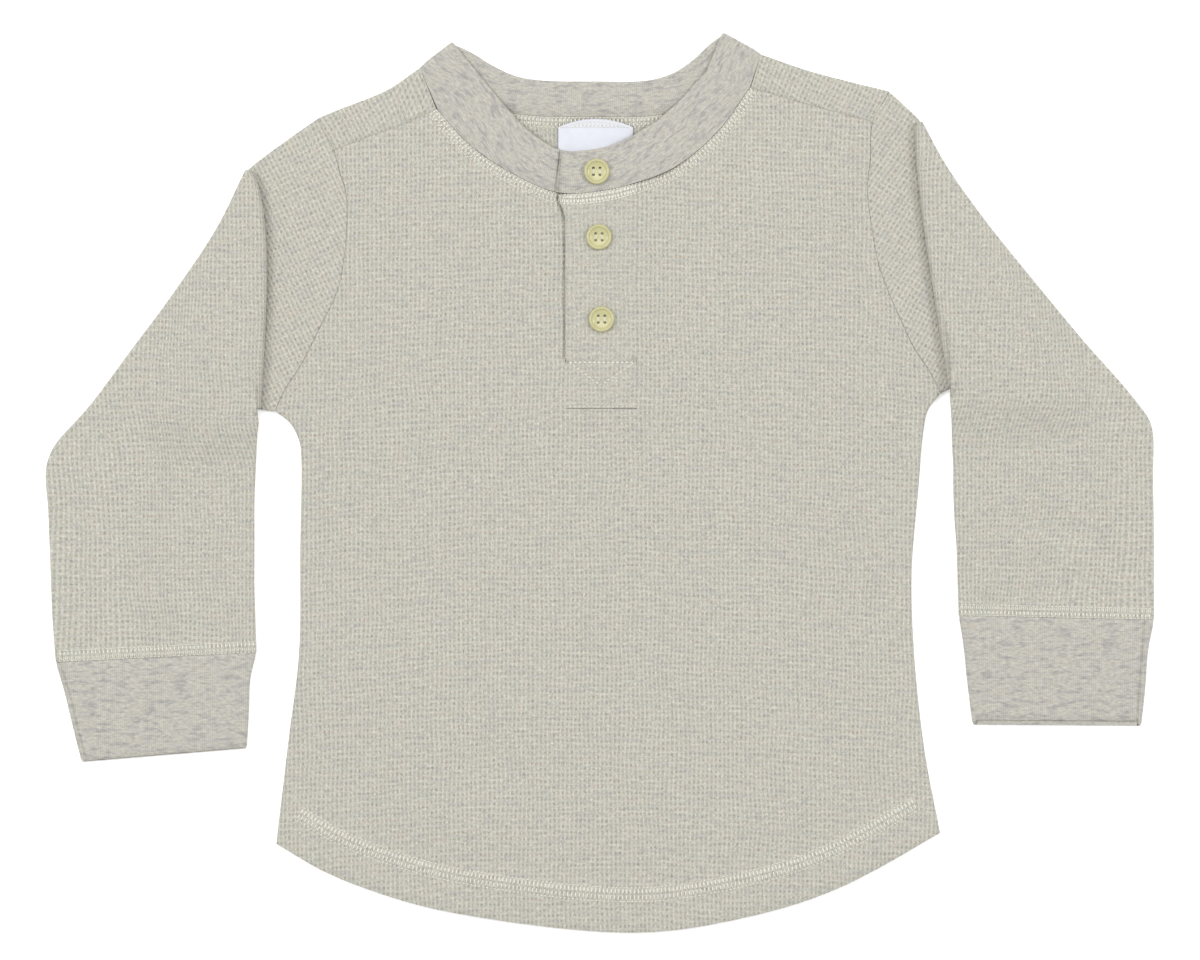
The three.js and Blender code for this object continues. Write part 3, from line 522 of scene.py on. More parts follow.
def front_panel():
    """The front, cut open under the placket."""
    spans = ((-75, -20.5, 26), (-20.5, -13, 18), (-13, 16.2, 13), (16.2, 18.2, 10), (18.2, 69, 26))
    columns = [np.linspace(a, b, n, endpoint=False) for a, b, n in spans]
    grid, armpit, _ = panel(FRONT_BAND, FORWARD_SEAMS, False, np.concatenate([*columns, [69]]))
    x, y = grid[..., 0], grid[..., 1]
    thick = hem_weight(grid)
    z = front_height(x, y) + (thick - KNIT / HEM) * HEM
    start = grid[:, -1:, 0]
    shoulder = (start < FRONT_BAND[0][0] - 1) | (start > FRONT_BAND[-1][0] + 1)
    z -= np.where(shoulder, SHOULDER_DIP, NECK_DIP) * ease(1.0 - from_end(grid, -1))
    z -= 0.6 * ease((1.1 - from_end(grid, 0)) / 1.1) ** 2
    points = rolled(np.dstack([x, y, z]), armpit)
    thick = np.pad(thick, ((EDGE_COLUMNS, EDGE_COLUMNS), (0, 0)), constant_values=KNIT / HEM)
    piece = cloth("front_knit", points, panel_weave(points), thick=thick)
    cut_front(piece)
    return walled(piece, HEM, varied=True)


def back_panel():
    """The back, which folds forward over each shoulder to the seam on the front."""
    columns = np.linspace(BACK_BAND[0][0], BACK_BAND[-1][0], 88)
    grid, armpit, shoulder = panel(BACK_BAND, SHOULDER_FOLDS, True, columns)
    x, y = grid[..., 0], grid[..., 1]
    z = np.maximum(creased(x, y, BACK_CREASES), 0) * lift(x, y) / PUFF * 0.8
    thick = hem_weight(grid)
    inset = ease((armpit - np.arange(grid.shape[1])) / 4)
    for away, side_x in ((-1, grid[0, :, 0].copy()), (1, grid[-1, :, 0].copy())):
        x -= away * inset * (TUBE_REACH + 1.0) * np.clip(1 - np.abs(x - side_x) / EDGE_SPAN, 0, 1)
    points = np.dstack([x, y, z])
    radius = FRONT_OUT / 2
    n, m = points.shape[:2]
    turns, lays = np.radians(np.linspace(0, 180, 9)[1:]), np.linspace(0, 1, 12)[1:]
    more = np.full((n, len(turns) + len(lays), 3), np.nan)
    ends = np.linspace(0, 1, shoulder) ** SHOULDER_GATHER
    for side, first, shares, edge in (("left", 0, ends, 0), ("right", n - shoulder, 1 - ends[::-1], -1)):
        seam = curve(FORWARD_SEAMS[side], shares) + (0, BUTT)
        fold = points[first:first + shoulder, -1, :2]
        flap = more[first:first + shoulder]
        for k, turn in enumerate(turns):
            flap[:, k, :2] = fold + leftward(fold) * radius * math.sin(turn)
            flap[:, k, 2] = radius * (1 - math.cos(turn))
        for k, share in enumerate(lays, start=len(turns)):
            lay = fold + (seam - fold) * share
            height = FRONT_OUT + (front_height(*lay.T) - FRONT_OUT) * ease(share / 0.3)
            near = np.linalg.norm(seam - lay, axis=1)
            beside = np.linalg.norm(lay - lay[edge], axis=1)
            sewn = SHOULDER_DIP * np.maximum(ease(1.0 - near), ease((1.1 - beside) / 1.1))
            flap[:, k] = np.column_stack([lay, height - sewn])
    full = np.concatenate([points, more], axis=1)
    weave = panel_weave(full)
    weave[:, m:] = weave[:, m - 1:m]
    weave[:, m:, 1] += np.cumsum(np.linalg.norm(np.diff(full[:, m - 1:], axis=1), axis=2), axis=1)
    weave = np.nan_to_num(weave)
    thick = np.concatenate([thick, np.full(more.shape[:2], KNIT / HEM)], axis=1)
    piece = cloth("back_knit", full[::-1], weave[::-1], thick=thick[::-1])
    return walled(piece, HEM, varied=True)


# Sleeves and cuffs

def sleeve_line(row, bow, out, shares):
    """x, y across a sleeve from its inner end to its outer one, bowed towards the body."""
    outer, inner = np.array(row[:2], float), np.array(row[2:], float)
    along = (outer - inner) / np.linalg.norm(outer - inner)
    inner, outer = inner + along * TUBE_REACH, outer - along * TUBE_REACH
    line = inner + (outer - inner) * shares[:, None]
    line[:, 0] -= out * bow * np.sin(math.pi * (1 - shares) ** 0.6)
    return line


def ring(line, out, z, half, shift=0.0, turn=0.0):
    """A ring round a flattened tube, whose middle has the heights z. turn 0 is the tube lying
    flat, 180 the tube folded over."""
    along = unit(line[-1] - line[0])
    over = np.array([out * along[1], -out * along[0]])
    s, c = math.sin(math.radians(turn)), math.cos(math.radians(turn))
    z = np.broadcast_to(z, len(line))

    def at(points, sideways, heights):
        return np.column_stack([points + over * np.reshape(sideways, (-1, 1)), heights])

    upper = at(line, shift - half * s, z + half * c)
    lower = at(line, shift + half * s, z - half * c)[::-1]
    tips = np.linspace(0, math.pi, 8)[1:-1]
    rims = []
    for end, sign in ((-1, 1), (0, -1)):
        level = half * np.cos(tips) * sign
        reach = line[end] + along * (sign * half * np.sin(tips))[:, None]
        rims.append(at(reach, shift - level * s, z[end] + level * c))
    return np.concatenate([upper, rims[0], lower, rims[1], upper[:1]])


def sleeve_tube(side):
    """Rings from the armhole, back under itself at the hidden line, out along the fold that
    shows, and down to the cuff seam, and the number of the first ring past the hidden fold."""
    data = SLEEVES[side]
    out, bow, half = data["out"], data["bow"], TUBE_REACH
    shares = np.concatenate([np.linspace(0, 0.93, 62, endpoint=False), np.linspace(0.93, 1, 18)])
    armhole = curve(ARMHOLES[side], shares, even=False)
    armhole[:, 1] += TUBE_REACH * (1 - shares) ** 8
    armhole[:, 0] += out * (BUTT + 0.3 * ease((shares - 0.9) / 0.1))
    fold = sleeve_line(data["rows"][0], bow, out, shares)
    top = fold[-1]
    shorter = 1 - PLEAT_INSET / np.linalg.norm(top - fold[0])
    angle = out * math.radians(data["turn"])
    spin = np.array([[math.cos(angle), math.sin(angle)], [-math.sin(angle), math.cos(angle)]])
    hidden = (fold[0] + (fold - fold[0]) * shorter - top) @ spin + top
    rings = []
    for share in np.arange(HEAD_RINGS) / HEAD_RINGS:
        slack = 4 * share * (1 - share)
        press = 0.4 * float(ease((share - 0.86) / 0.12))
        line = armhole + (fold - armhole) * share
        line[:, 1] += data["swell"] * slack * shares**3
        z = TUBE_REACH - press + 0.25 * slack * rumple(*line.T, 9)
        rings.append(ring(line, out, z, half - press))
    for share in (0, 0.5, 1):
        press = 0.4 * (1 - share)
        rings.append(ring(fold + (hidden - fold) * share, out, TUBE_REACH - press, half - press))
    for turn in np.linspace(0, 180, 9)[1:]:
        turned = math.radians(turn)
        z = TUBE_REACH + PLEAT_RADIUS * (1 - math.cos(turned))
        rings.append(ring(hidden, out, z, half, PLEAT_RADIUS * math.sin(turned), turn))
    past = len(rings)
    rings.append(ring(fold + (hidden - fold) * 0.5, out, TUBE_REACH + 2 * PLEAT_RADIUS, half, 0, 180))
    for turn in np.linspace(180, 0, 11):
        turned = math.radians(turn)
        z = TUBE_REACH + PLEAT_RADIUS * (3 + math.cos(turned))
        rings.append(ring(fold, out, z, half, -PLEAT_RADIUS * math.sin(turned), turn))
    start = len(rings)
    along = unit(hidden[-1] - hidden[0])
    beyond = np.array([out * along[1], -out * along[0]])
    spots = np.linspace(0, 1, 71)[1:] ** 1.25
    for spot, o, i in zip(spots, *strip_edges(data["rows"], spots)):
        fade = max(1 - spot * (len(data["rows"]) - 1) / 3, 0)
        line = sleeve_line((*o, *i), bow * fade, out, shares)
        far, below = np.maximum((line - top) @ beyond, 0), np.maximum(fold[0, 1] - line[:, 1], 0)
        drape = 1 - ease(np.maximum(np.hypot(far, below) - PLEAT_SHELF, 0) / PLEAT_DRAPE)
        rings.append(ring(line, out, TUBE_REACH + 4 * PLEAT_RADIUS * drape, half))
    rings = np.array(rings)
    upper = rings[:, :len(shares)]
    x, y = upper[..., 0], upper[..., 1]
    inside = np.sin(math.pi * shares) ** 0.5
    order = np.arange(len(rings))
    loose = (ease((order - start) / 14) * ease((len(rings) - order) / 12))[:, None] * inside
    upper[..., 2] += loose * (
        creased(x, y, SLEEVE_CREASES[side]) + 0.7 * rumple(x, y, 7 + out) + 0.7 * inside)
    rings[:, -1, 2] = rings[:, 0, 2]
    return rings, past


def sleeve(side):
    """One sleeve as a walled tube."""
    rings, past = sleeve_tube(side)
    data, x, y = SLEEVES[side], rings[..., 0], rings[..., 1]
    drop = np.abs(np.diff(rings[..., 2], axis=0))
    travel = np.concatenate([np.zeros((1, rings.shape[1])), np.cumsum(drop, axis=0)])
    c, s = math.cos(math.radians(data["tilt"])), math.sin(math.radians(data["tilt"]))
    head = np.stack([x * c + y * s, y * c - x * s], axis=-1)
    arm = np.stack([x + travel * data["out"], y], axis=-1)
    weave = np.concatenate([head[:past], arm[past:]])
    piece = cloth(f"sleeve_{side}_knit", rings, weave, closed=True)
    return walled(piece, KNIT)


def cuff(side):
    """One cuff: a doubled jersey band, folded at its open edge."""
    data, out = CUFFS[side], SLEEVES[side]["out"]
    reach = CUFF + AIR / 2
    spots = np.linspace(0, 1, 34)
    shares = np.concatenate([np.linspace(0, 0.88, 70, endpoint=False), np.linspace(0.88, 1, 44)])
    count = len(shares)
    rings = []
    for spot, o, i in zip(spots, *strip_edges(data["rows"], spots)):
        o, i = o - (out * reach, 0), i + (out * reach, 0)
        tuck = 0.3 * ease((0.07 - spot) / 0.07) + 0.5 * ease((spot - 0.96) / 0.04) ** 2
        loop = ring(i + (o - i) * shares[:, None], out, reach, reach - tuck)
        loop[:, 2] -= tuck * 0.8
        x, y = loop[:count, 0], loop[:count, 1]
        puff = 0.35 * math.sin(math.pi * spot) ** 0.6 + 0.4 * rumple(x * 1.6, y * 1.6, 21 + out)
        seam = data["seam"][0] + (data["seam"][1] - data["seam"][0]) * spot
        loop[:count, 2] += puff * np.sin(math.pi * shares) ** 0.5
        loop[:count, 2] -= 0.75 * np.exp(-(((x - seam) / 0.42) ** 2))
        loop[-1] = loop[0]
        loop[count:-1, 1] -= data["under"] * spot**3
        rings.append(loop)
    rings = np.array(rings)
    piece = cloth(f"cuff_{side}_jersey", rings, rings[..., :2], closed=True)
    return walled(piece, CUFF, rim=0.15)


# Neckband and plackets

def band_path():
    """Sections of the neckband from its hidden end round the neck to the end that shows:
    low points, high points, the middle's height, and the turn over a shoulder fold."""
    def at(rows, spots):
        return strip_edges(rows, np.asarray(spots) / (len(rows) - 1))

    last_front, last_back = len(FRONT_BAND) - 1, len(BACK_BAND) - 1
    low, high, level, raised = [], [], [], []

    def put(lows, highs, base, lifted):
        low.extend(lows)
        high.extend(highs)
        level.extend(np.broadcast_to(base, len(lows)))
        raised.extend([lifted] * len(lows))

    def join(back, front):
        ends = [sum(pair) / 2 for pair in zip(at(BACK_BAND, [back]), at(FRONT_BAND, [front]))]
        put(*ends, UNDER_BAND_LEVEL, False)

    def fold(spot, sign, turns):
        lows, highs = at(BACK_BAND, [spot])
        along = unit(highs[0] - lows[0])
        away = np.array([-along[1], along[0]]) * sign
        radius = (UNDER_BAND_LEVEL - BACK_BAND_LEVEL) / 2
        for turn in np.radians(turns):
            shift = away * radius * math.sin(turn)
            put(lows + shift, highs + shift, BACK_BAND_LEVEL + radius * (1 - math.cos(turn)), False)

    spots = np.concatenate([np.arange(UNDER_END, 3.15, -0.125), np.arange(3.1, 2.7, -0.03),
                            np.arange(2.65, -0.01, -0.13)])
    gap = 0.75 * np.exp(-(((spots - UPPER_END + 0.06) / 0.05) ** 2))
    put(*at(FRONT_BAND, spots), UNDER_BAND_LEVEL - gap, True)
    join(0, 0)
    fold(0, 1, np.linspace(180, 0, 9))
    put(*at(BACK_BAND, np.arange(0.2, last_back - 0.1, 0.14)), BACK_BAND_LEVEL, False)
    fold(last_back, -1, np.linspace(0, 180, 9))
    join(last_back, last_front)
    spots = np.arange(last_front, UPPER_END - 0.01, -0.125)
    climb = (UPPER_BAND_LEVEL - UNDER_BAND_LEVEL) * ease((UNDER_END + RAMP[0] - spots) / RAMP[1])
    put(*at(FRONT_BAND, spots), UNDER_BAND_LEVEL + climb, True)
    return np.array(low), np.array(high), np.array(level), np.array(raised)


def neckband():
    """The doubled jersey band, one strip whose ends overlap above the placket."""
    low, high, level, raised = band_path()
    half = RIB / 2
    shares = np.linspace(0, 1, 16)
    thick = half * (0.45 + 0.55 * ease(shares / 0.25))      # pressed thinner at its seam
    way = unit(high - low)
    low, high = low + way * thick[0] * 0.9, high - way * half
    mid = low[:, None] + (high - low)[:, None] * shares[None, :, None]
    x, y = mid[..., 0], mid[..., 1]
    z = level[:, None] + np.where(raised[:, None], lift(x, y) + 0.5 * rumple(x, y, 31), 0)
    z = z - half + thick
    sections = slab(np.dstack([x, y, z]), thick)
    return cloth("neckband_jersey", sections, loops_weave(sections), closed=True, caps=True)


def placket_top(x):
    """y of the placket's top edge, which follows the neckband's seam."""
    seam, _ = strip_edges(FRONT_BAND, np.linspace(0.2, 0.8, 60))
    return np.interp(x, seam[:, 0], seam[:, 1]) - 0.45


def placket(name, level, left, right, foot, flare):
    """One placket strip with pressed, rounded edges, drawn in along the stitching at its foot."""
    u, v = np.meshgrid(np.linspace(0, 1, 50), np.linspace(0, 1, 150), indexing="ij")
    x = left + (right - left) * u
    y = foot + (placket_top(x) - foot) * v
    z = level + lift(x, y)
    x = x - flare * (1 - u) * ease((y - PLACKET["flare_from"]) / 14)
    point = BOX["point"] + np.abs(x - BOX["middle"]) * BOX["slope"]
    inside = ease(u / 0.1) * ease((1 - u) / 0.1)
    z += 0.2 * np.sin(math.pi * u) ** 0.5 + 0.25 * rumple(x * 2.4, y * 1.6, 5) * inside
    if flare:
        for away in (y - BOX["line"], (y - point) * 0.82):
            z -= 0.6 * np.exp(-((away / 1.0) ** 2))
    sections = slab(np.dstack([x, y, z]).transpose(1, 0, 2)[::-1], KNIT / 2)
    return cloth(name, sections, sections[..., :2], closed=True, caps=True)


def label_top(u):
    """y of the label's arched top at a share of its width."""
    return LABEL["corner"] + LABEL["arch"] * np.sin(math.pi * u) ** 0.8


def label():
    """A blank woven label with an arched top."""
    u, v = np.meshgrid(np.linspace(0, 1, 20), np.linspace(0, 1, 16), indexing="ij")
    x = LABEL["left"] + LABEL["width"] * u
    y = LABEL["foot"] + (label_top(u) - LABEL["foot"]) * v
    z = KNIT + AIR + 0.5 + 0.35 * np.sin(math.pi * u) + 0.2 * ease((v - 0.8) / 0.2)
    sections = slab(np.dstack([x, y, z]).transpose(1, 0, 2)[::-1], TAPE / 2, rounds=2)
    return cloth("label_blank", sections, sections[..., :2], closed=True, caps=True)


# Sewing

def thread_run(bm, start, end, width, height):
    """One stitch: a tapered bead of thread between two points in mm."""
    start, end = Vector(start), Vector(end)
    way = end - start
    turn = way.to_track_quat("X", "Z").to_matrix().to_4x4()
    size = Matrix.Diagonal((way.length / 2, width / 2, height / 2, 1))
    place = Matrix.Translation((start + end) / 2 * MM)
    bmesh.ops.create_icosphere(bm, subdivisions=1, radius=MM, matrix=place @ turn @ size)


def even_path(points, pitch):
    """The path resampled at the pitch, with the sideways direction at each point."""
    points = np.asarray(points, float)
    run = lengths(points)
    count = max(int(round(run[-1] / pitch)), 2)
    spots = np.linspace(0, run[-1], count + 1)
    path = np.stack([np.interp(spots, run, c) for c in points.T], axis=-1)
    return path, leftward(path)


def bead(bm, start, end, height, width, depth):
    """One stitch between two x, y points, on the surface that height gives."""
    thread_run(bm, (*start, height(*start)), (*end, height(*end)), width, depth)


def running_stitch(bm, points, height, pitch=2.2, width=0.55):
    """A line of stitches along x, y points."""
    path, _ = even_path(points, pitch)
    for a, b in zip(path, path[1:]):
        bead(bm, a, a + (b - a) * 0.8, height, width, width)


def coverstitch(bm, points, height, half_width, pitch, width=0.5, rails=True, lean=0.0):
    """Rungs of doubled thread between two rows of stitches."""
    path, side = even_path(points, pitch)
    left, right = path + side * half_width, path - side * half_width
    for k, step in enumerate(np.diff(path, axis=0)):
        for line in (left, right) if rails else ():
            bead(bm, line[k], line[k] + (line[k + 1] - line[k]) * 0.85, height, width, width)
        for start in (0.0, lean + 0.25):
            a, b = left[k] + step * start, right[k] + step * lean
            bead(bm, a, a + (b - a) * 0.55, height, width * 0.85, width * 0.9)
            bead(bm, a + (b - a) * 0.45, b, height, width * 0.85, width * 0.9)


def top_of(*names):
    """A function that gives the height of the highest of these pieces over x, y."""
    depsgraph = bpy.context.evaluated_depsgraph_get()
    trees = [BVHTree.FromObject(bpy.data.objects[name], depsgraph) for name in names]

    def height(x, y):
        hits = [tree.ray_cast(Vector((x, y, 50)) * MM, Vector((0, 0, -1)))[0] for tree in trees]
        return max([hit.z / MM for hit in hits if hit], default=0.0) + 0.1

    return height


def stitches(name, build, *values):
    """The stitches that build adds, as one piece."""
    bm = bmesh.new()
    build(bm, *values)
    bmesh.ops.recalc_face_normals(bm, faces=bm.faces[:])
    return finished(name, bm)


def beside(rows, shares):
    """x, y of the stitches beside the neckband's seam."""
    seam, top = strip_edges(rows, shares)
    return seam + unit(seam - top) * NECK_STITCHES


def hem_stitches(bm, pitch):
    """The coverstitching that holds the hem up."""
    edge = curve(HEM_EDGE, np.linspace(0.007, 0.993, 120))
    coverstitch(bm, edge + leftward(edge) * HEM_STITCHES, top_of("front_knit"), 3.2, pitch)


def neck_stitches(bm, pitch):
    """The coverstitching below the neckband, heavier where it crosses the placket."""
    line = beside(FRONT_BAND, np.linspace(0, 1, 160))
    height = top_of("front_knit", "back_knit", "placket_upper_knit")
    coverstitch(bm, line, height, 2.1, pitch)
    line = line[(line[:, 0] > -17) & (line[:, 0] < 16.5)]
    coverstitch(bm, line, height, 2.3, pitch * 0.8, width=0.55, lean=0.5)


def back_neck_stitches(bm, pitch):
    """The coverstitching inside the back neck, over the label."""
    line = beside(BACK_BAND, np.linspace(0.3, 0.74, 80))
    coverstitch(bm, line, top_of("back_knit", "label_blank"), 2.2, pitch)


def placket_stitches(bm, pitch):
    """The box at the placket's foot, and the bar beside the top button."""
    height = top_of("placket_upper_knit")
    left, right, foot = PLACKET["left"] + 0.9, PLACKET["right"] - 0.9, PLACKET["foot"] + 0.9
    line, point = BOX["line"], (BOX["middle"], BOX["point"])
    running_stitch(bm, ((left, line), (right, line)), height, width=0.85)
    running_stitch(bm, ((left, line), point, (right, line)), height, width=0.65)
    running_stitch(bm, ((left, foot), (right, foot)), height, width=0.4)
    bar = ((4.6, 143.3), (6.6, 143.3))
    coverstitch(bm, bar, top_of("neckband_jersey"), 0.8, pitch / 3, width=0.45, rails=False)


def label_stitches(bm, pitch):
    """The topstitching along the label's arch."""
    x = np.linspace(-17.8, 13.8, 30)
    arch = label_top((x - LABEL["left"]) / LABEL["width"]) - 1.2
    running_stitch(bm, np.stack([x, arch], axis=-1), top_of("label_blank"), pitch, 0.35)


def cuff_stitches(bm, pitch, side):
    """The coverstitching on the sleeve above a cuff."""
    outer, inner = np.array(CUFFS[side]["rows"][0], float).reshape(2, 2) + (0, CUFF_STITCHES)
    line = inner + (outer - inner) * np.linspace(0.01, 0.99, 60)[:, None]
    coverstitch(bm, line, top_of(f"sleeve_{side}_knit"), 2.4, pitch, lean=0.3)


def button_thread(bm, x, y, base):
    """Two strands over a button between each pair of holes, and one down through each hole."""
    top = base + 1.15
    for dx in HOLES:
        for shift in (-0.22, 0.22):
            strand = x + dx + shift
            thread_run(bm, (strand, y - 1.6, top), (strand, y + 1.6, top), 0.36, 0.4)
        for dy in HOLES:
            hole = (x + dx, y + dy * 0.9)
            thread_run(bm, (*hole, base - 0.6), (*hole, top), 0.4, 0.4)


def button(name, diameter, place):
    """A four-hole button: a turned disc with a raised round rim, its dish drilled through."""
    r = diameter / 2
    profile = ((0, 0), (r - 0.9, 0), (r - 0.25, 0.35), (r, 1.0), (r - 0.08, 1.6), (r - 0.4, 2.05),
               (r - 0.8, 2.2), (r - 1.15, 2.05), (r - 1.5, 1.5), (r - 2.1, 1.2), (0, 1.1))
    bm = bmesh.new()
    verts = [bm.verts.new((x * MM, 0, z * MM)) for x, z in profile]
    edges = [bm.edges.new(pair) for pair in zip(verts, verts[1:])]
    bmesh.ops.spin(bm, geom=verts + edges, cent=(0, 0, 0), axis=(0, 0, 1), angle=2 * math.pi, steps=56,
                   use_merge=True)
    bmesh.ops.remove_doubles(bm, verts=bm.verts[:], dist=0.001 * MM)
    bmesh.ops.recalc_face_normals(bm, faces=bm.faces[:])
    disc = finished(name, bm)
    drill = bmesh.new()
    for dx in HOLES:
        for dy in HOLES:
            bmesh.ops.create_cone(drill, cap_ends=True, segments=20, radius1=HOLE_RADIUS * MM,
                                  radius2=HOLE_RADIUS * MM, depth=8 * MM,
                                  matrix=Matrix.Translation((dx * MM, dy * MM, 0)))
    bits = finished("drill", drill)
    cut = disc.modifiers.new("holes", "BOOLEAN")
    cut.operation, cut.object, cut.solver = "DIFFERENCE", bits, "EXACT"
    bpy.context.view_layer.update()
    shaped = bpy.data.meshes.new_from_object(disc.evaluated_get(bpy.context.evaluated_depsgraph_get()))
    disc.modifiers.clear()
    disc.data = shaped
    bpy.data.objects.remove(bits)
    shaped.transform(Matrix.Translation(Vector(place) * MM))
    shaped.shade_smooth()
    edge = disc.modifiers.new("edge", "BEVEL")
    edge.width, edge.segments, edge.limit_method = 0.12 * MM, 2, "ANGLE"
    edge.angle_limit = math.radians(50)
    return disc


# Materials

# Cotton hardly shines, and its fuzz pales it a little where it turns away
COTTON = {"IOR": 1.46, "Specular IOR Level": 0.25, "Sheen Weight": 0.12, "Sheen Roughness": 0.6}


def add(tree, kind, inputs=(), **settings):
    """Adds a shader node with its settings; inputs maps sockets to values, to other sockets or
    to nodes, whose first output is meant."""
    new = tree.nodes.new("ShaderNode" + kind)
    for key, value in settings.items():
        setattr(new, key, value)
    for key, value in dict(inputs).items():
        if isinstance(value, bpy.types.Node):
            value = value.outputs[0]
        if isinstance(value, bpy.types.NodeSocket):
            tree.links.new(value, new.inputs[key])
        else:
            new.inputs[key].default_value = value
    return new


def surface(name, build):
    """A material of that name. build adds its pattern and says what the shader's sockets hold."""
    material = bpy.data.materials.new(name)
    material.use_nodes = True
    tree = material.node_tree
    tree.nodes.clear()
    shader = add(tree, "BsdfPrincipled", build(tree))
    add(tree, "OutputMaterial", {"Surface": shader})
    return material


def wave(tree, coordinate, pitch, operation="COSINE"):
    """-1 to 1 and back once in each pitch in mm."""
    turned = add(tree, "Math", {0: coordinate, 1: 2 * math.pi / pitch}, operation="MULTIPLY")
    return add(tree, "Math", {0: turned}, operation=operation)


def toned(tree, colour, value, span, tones):
    """The colour times a tone, which goes from tones[0] to tones[1] as the value crosses the span."""
    tone = add(tree, "MapRange", {0: value, 1: span[0], 2: span[1], 3: tones[0], 4: tones[1]})
    mixed = add(tree, "Mix", {0: 1.0, 6: colour, 7: tone}, data_type="RGBA", blend_type="MULTIPLY")
    return mixed.outputs[2]


def heather(tree, place, colours, stretch, grain, depth):
    """Yarn of mixed fibres: patches of warm and grey, and short streaks along the rows."""
    beige, warm, plain, grey = colours
    spread = add(tree, "Mapping", {"Vector": place, "Scale": (1 / stretch[0], 1 / stretch[1], 1)})
    patches = add(tree, "TexNoise", {"Vector": spread, "Scale": 1.0, "Detail": 2.5, "Roughness": 0.6})
    ramp = add(tree, "ValToRGB", {"Fac": patches})
    stops = ramp.color_ramp.elements
    stops[0].position, stops[0].color = 0.36, grey
    stops[1].position, stops[1].color = 0.66, beige
    stops.new(0.47).color = plain
    stops.new(0.56).color = warm
    fine = add(tree, "Mapping", {"Vector": place, "Scale": (1 / grain[0], 1 / grain[1], 1),
                                 "Location": (7.3, 2.1, 0)})
    streaks = add(tree, "TexNoise", {"Vector": fine, "Scale": 1.0, "Detail": 2.0, "Roughness": 0.65})
    return toned(tree, ramp.outputs["Color"], streaks, (0.28, 0.72), (1 - depth, 1 + depth))


def waffle_material(name, colours, sizes, depth, painted_shade):
    """Cotton waffle knit, steamed: ribs and ledges 2.0 by 2.6 mm that frame small pits,
    dull all over, with the warm and grey streaks of heather yarn along its rows. Its colour holds
    painted shade in the pits, tinted warm, and painted light on the ribs; the last argument sets how
    strong."""
    def build(tree):
        place = add(tree, "UVMap", uv_map="weave")
        sways = []
        for scale, reach in ((0.03, (3.5, 4.5, 0)), (0.9, (0.6, 0.7, 0))):
            noise = add(tree, "TexNoise", {"Vector": place, "Scale": scale, "Detail": 1.0})
            middle = add(tree, "VectorMath", {0: noise.outputs["Color"], 1: (0.5, 0.5, 0.5)},
                         operation="SUBTRACT")
            sways.append(add(tree, "VectorMath", {0: middle, 1: reach}, operation="MULTIPLY"))
        sway = add(tree, "VectorMath", {0: sways[0], 1: sways[1]})
        axes = add(tree, "SeparateXYZ", {0: add(tree, "VectorMath", {0: place, 1: sway})})
        rib = wave(tree, axes.outputs["X"], sizes.column_pitch / MM)
        row = wave(tree, axes.outputs["Y"], sizes.row_pitch / MM)
        crossed = add(tree, "Math", {0: rib, 1: row}, operation="MULTIPLY")
        ledges = add(tree, "Math", {0: row, 1: 0.34, 2: rib}, operation="MULTIPLY_ADD")
        weave = add(tree, "Math", {0: crossed, 1: -0.55, 2: ledges}, operation="MULTIPLY_ADD")
        uneven = add(tree, "TexNoise", {"Vector": place, "Scale": 0.5, "Detail": 2.0})
        strength = add(tree, "MapRange", {0: uneven, 1: 0.3, 2: 0.7, 3: 0.35, 4: 1.5})
        shown = add(tree, "Math", {0: weave, 1: strength}, operation="MULTIPLY")
        rise = add(tree, "MapRange", {0: shown, 1: -2, 2: 2, 3: 0, 4: 1})
        # Painted shade and light: the colour darkens the pits, tinted warm, and lightens the ribs.
        painted_pit_shade = add(tree, "Mix", {
            0: rise, 6: (1 - 0.92 * painted_shade, 1 - painted_shade, 1 - 1.2 * painted_shade, 1),
            7: (1 + 0.92 * painted_shade, 1 + painted_shade, 1 + 1.2 * painted_shade, 1)}, data_type="RGBA")
        strand = add(tree, "Mapping", {"Vector": place, "Scale": (1 / 0.6, 1 / 1.3, 1)})
        loops = add(tree, "TexNoise", {"Vector": strand, "Scale": 1.0, "Detail": 1.0})
        yarn = heather(tree, place, colours, (11.0, 3.2), (3.6, 0.95), 0.13)
        yarn = toned(tree, yarn, loops, (0.3, 0.7), (0.85, 1.15))
        colour = add(tree, "Mix", {0: 1.0, 6: yarn, 7: painted_pit_shade.outputs[2]}, data_type="RGBA",
                     blend_type="MULTIPLY")
        fuzz = add(tree, "TexNoise", {"Vector": place, "Scale": 3.2, "Detail": 3.0, "Roughness": 0.7})
        rough = add(tree, "Math", {0: fuzz, 1: 0.5}, operation="MULTIPLY")
        height = add(tree, "Math", {0: shown, 1: 0.25, 2: rough}, operation="MULTIPLY_ADD")
        bump = add(tree, "Bump", {"Height": height, "Strength": 1.0, "Distance": depth * MM})
        return {"Base Color": colour.outputs[2], "Roughness": 0.92, "Normal": bump, **COTTON}
    return surface(name, build)


def jersey_material(name, colours):
    """Fine cotton jersey: ribs of loops 0.94 mm apart, drawn coarser than real ones, soft and
    dull, with short grey and cream heather flecks along its rows. Its colour holds painted shade
    between the ribs and painted light on them."""
    def build(tree):
        place = add(tree, "UVMap", uv_map="weave")
        axes = add(tree, "SeparateXYZ", {0: place})
        ribs = wave(tree, axes.outputs["X"], 0.94)
        fuzz = add(tree, "TexNoise", {"Vector": place, "Scale": 2.2, "Detail": 3.0, "Roughness": 0.7})
        height = add(tree, "Math", {0: ribs, 1: 0.25, 2: fuzz}, operation="MULTIPLY_ADD")
        fleck = heather(tree, place, colours, (7.0, 2.2), (2.2, 0.9), 0.2)
        bump = add(tree, "Bump", {"Height": height, "Strength": 0.8, "Distance": 0.16 * MM})
        # Painted shade and light: the colour darkens between the ribs and lightens on them.
        return {"Base Color": toned(tree, fleck, ribs, (-1, 1), (0.945, 1.055)), "Roughness": 0.9,
                "Normal": bump, **COTTON}
    return surface(name, build)


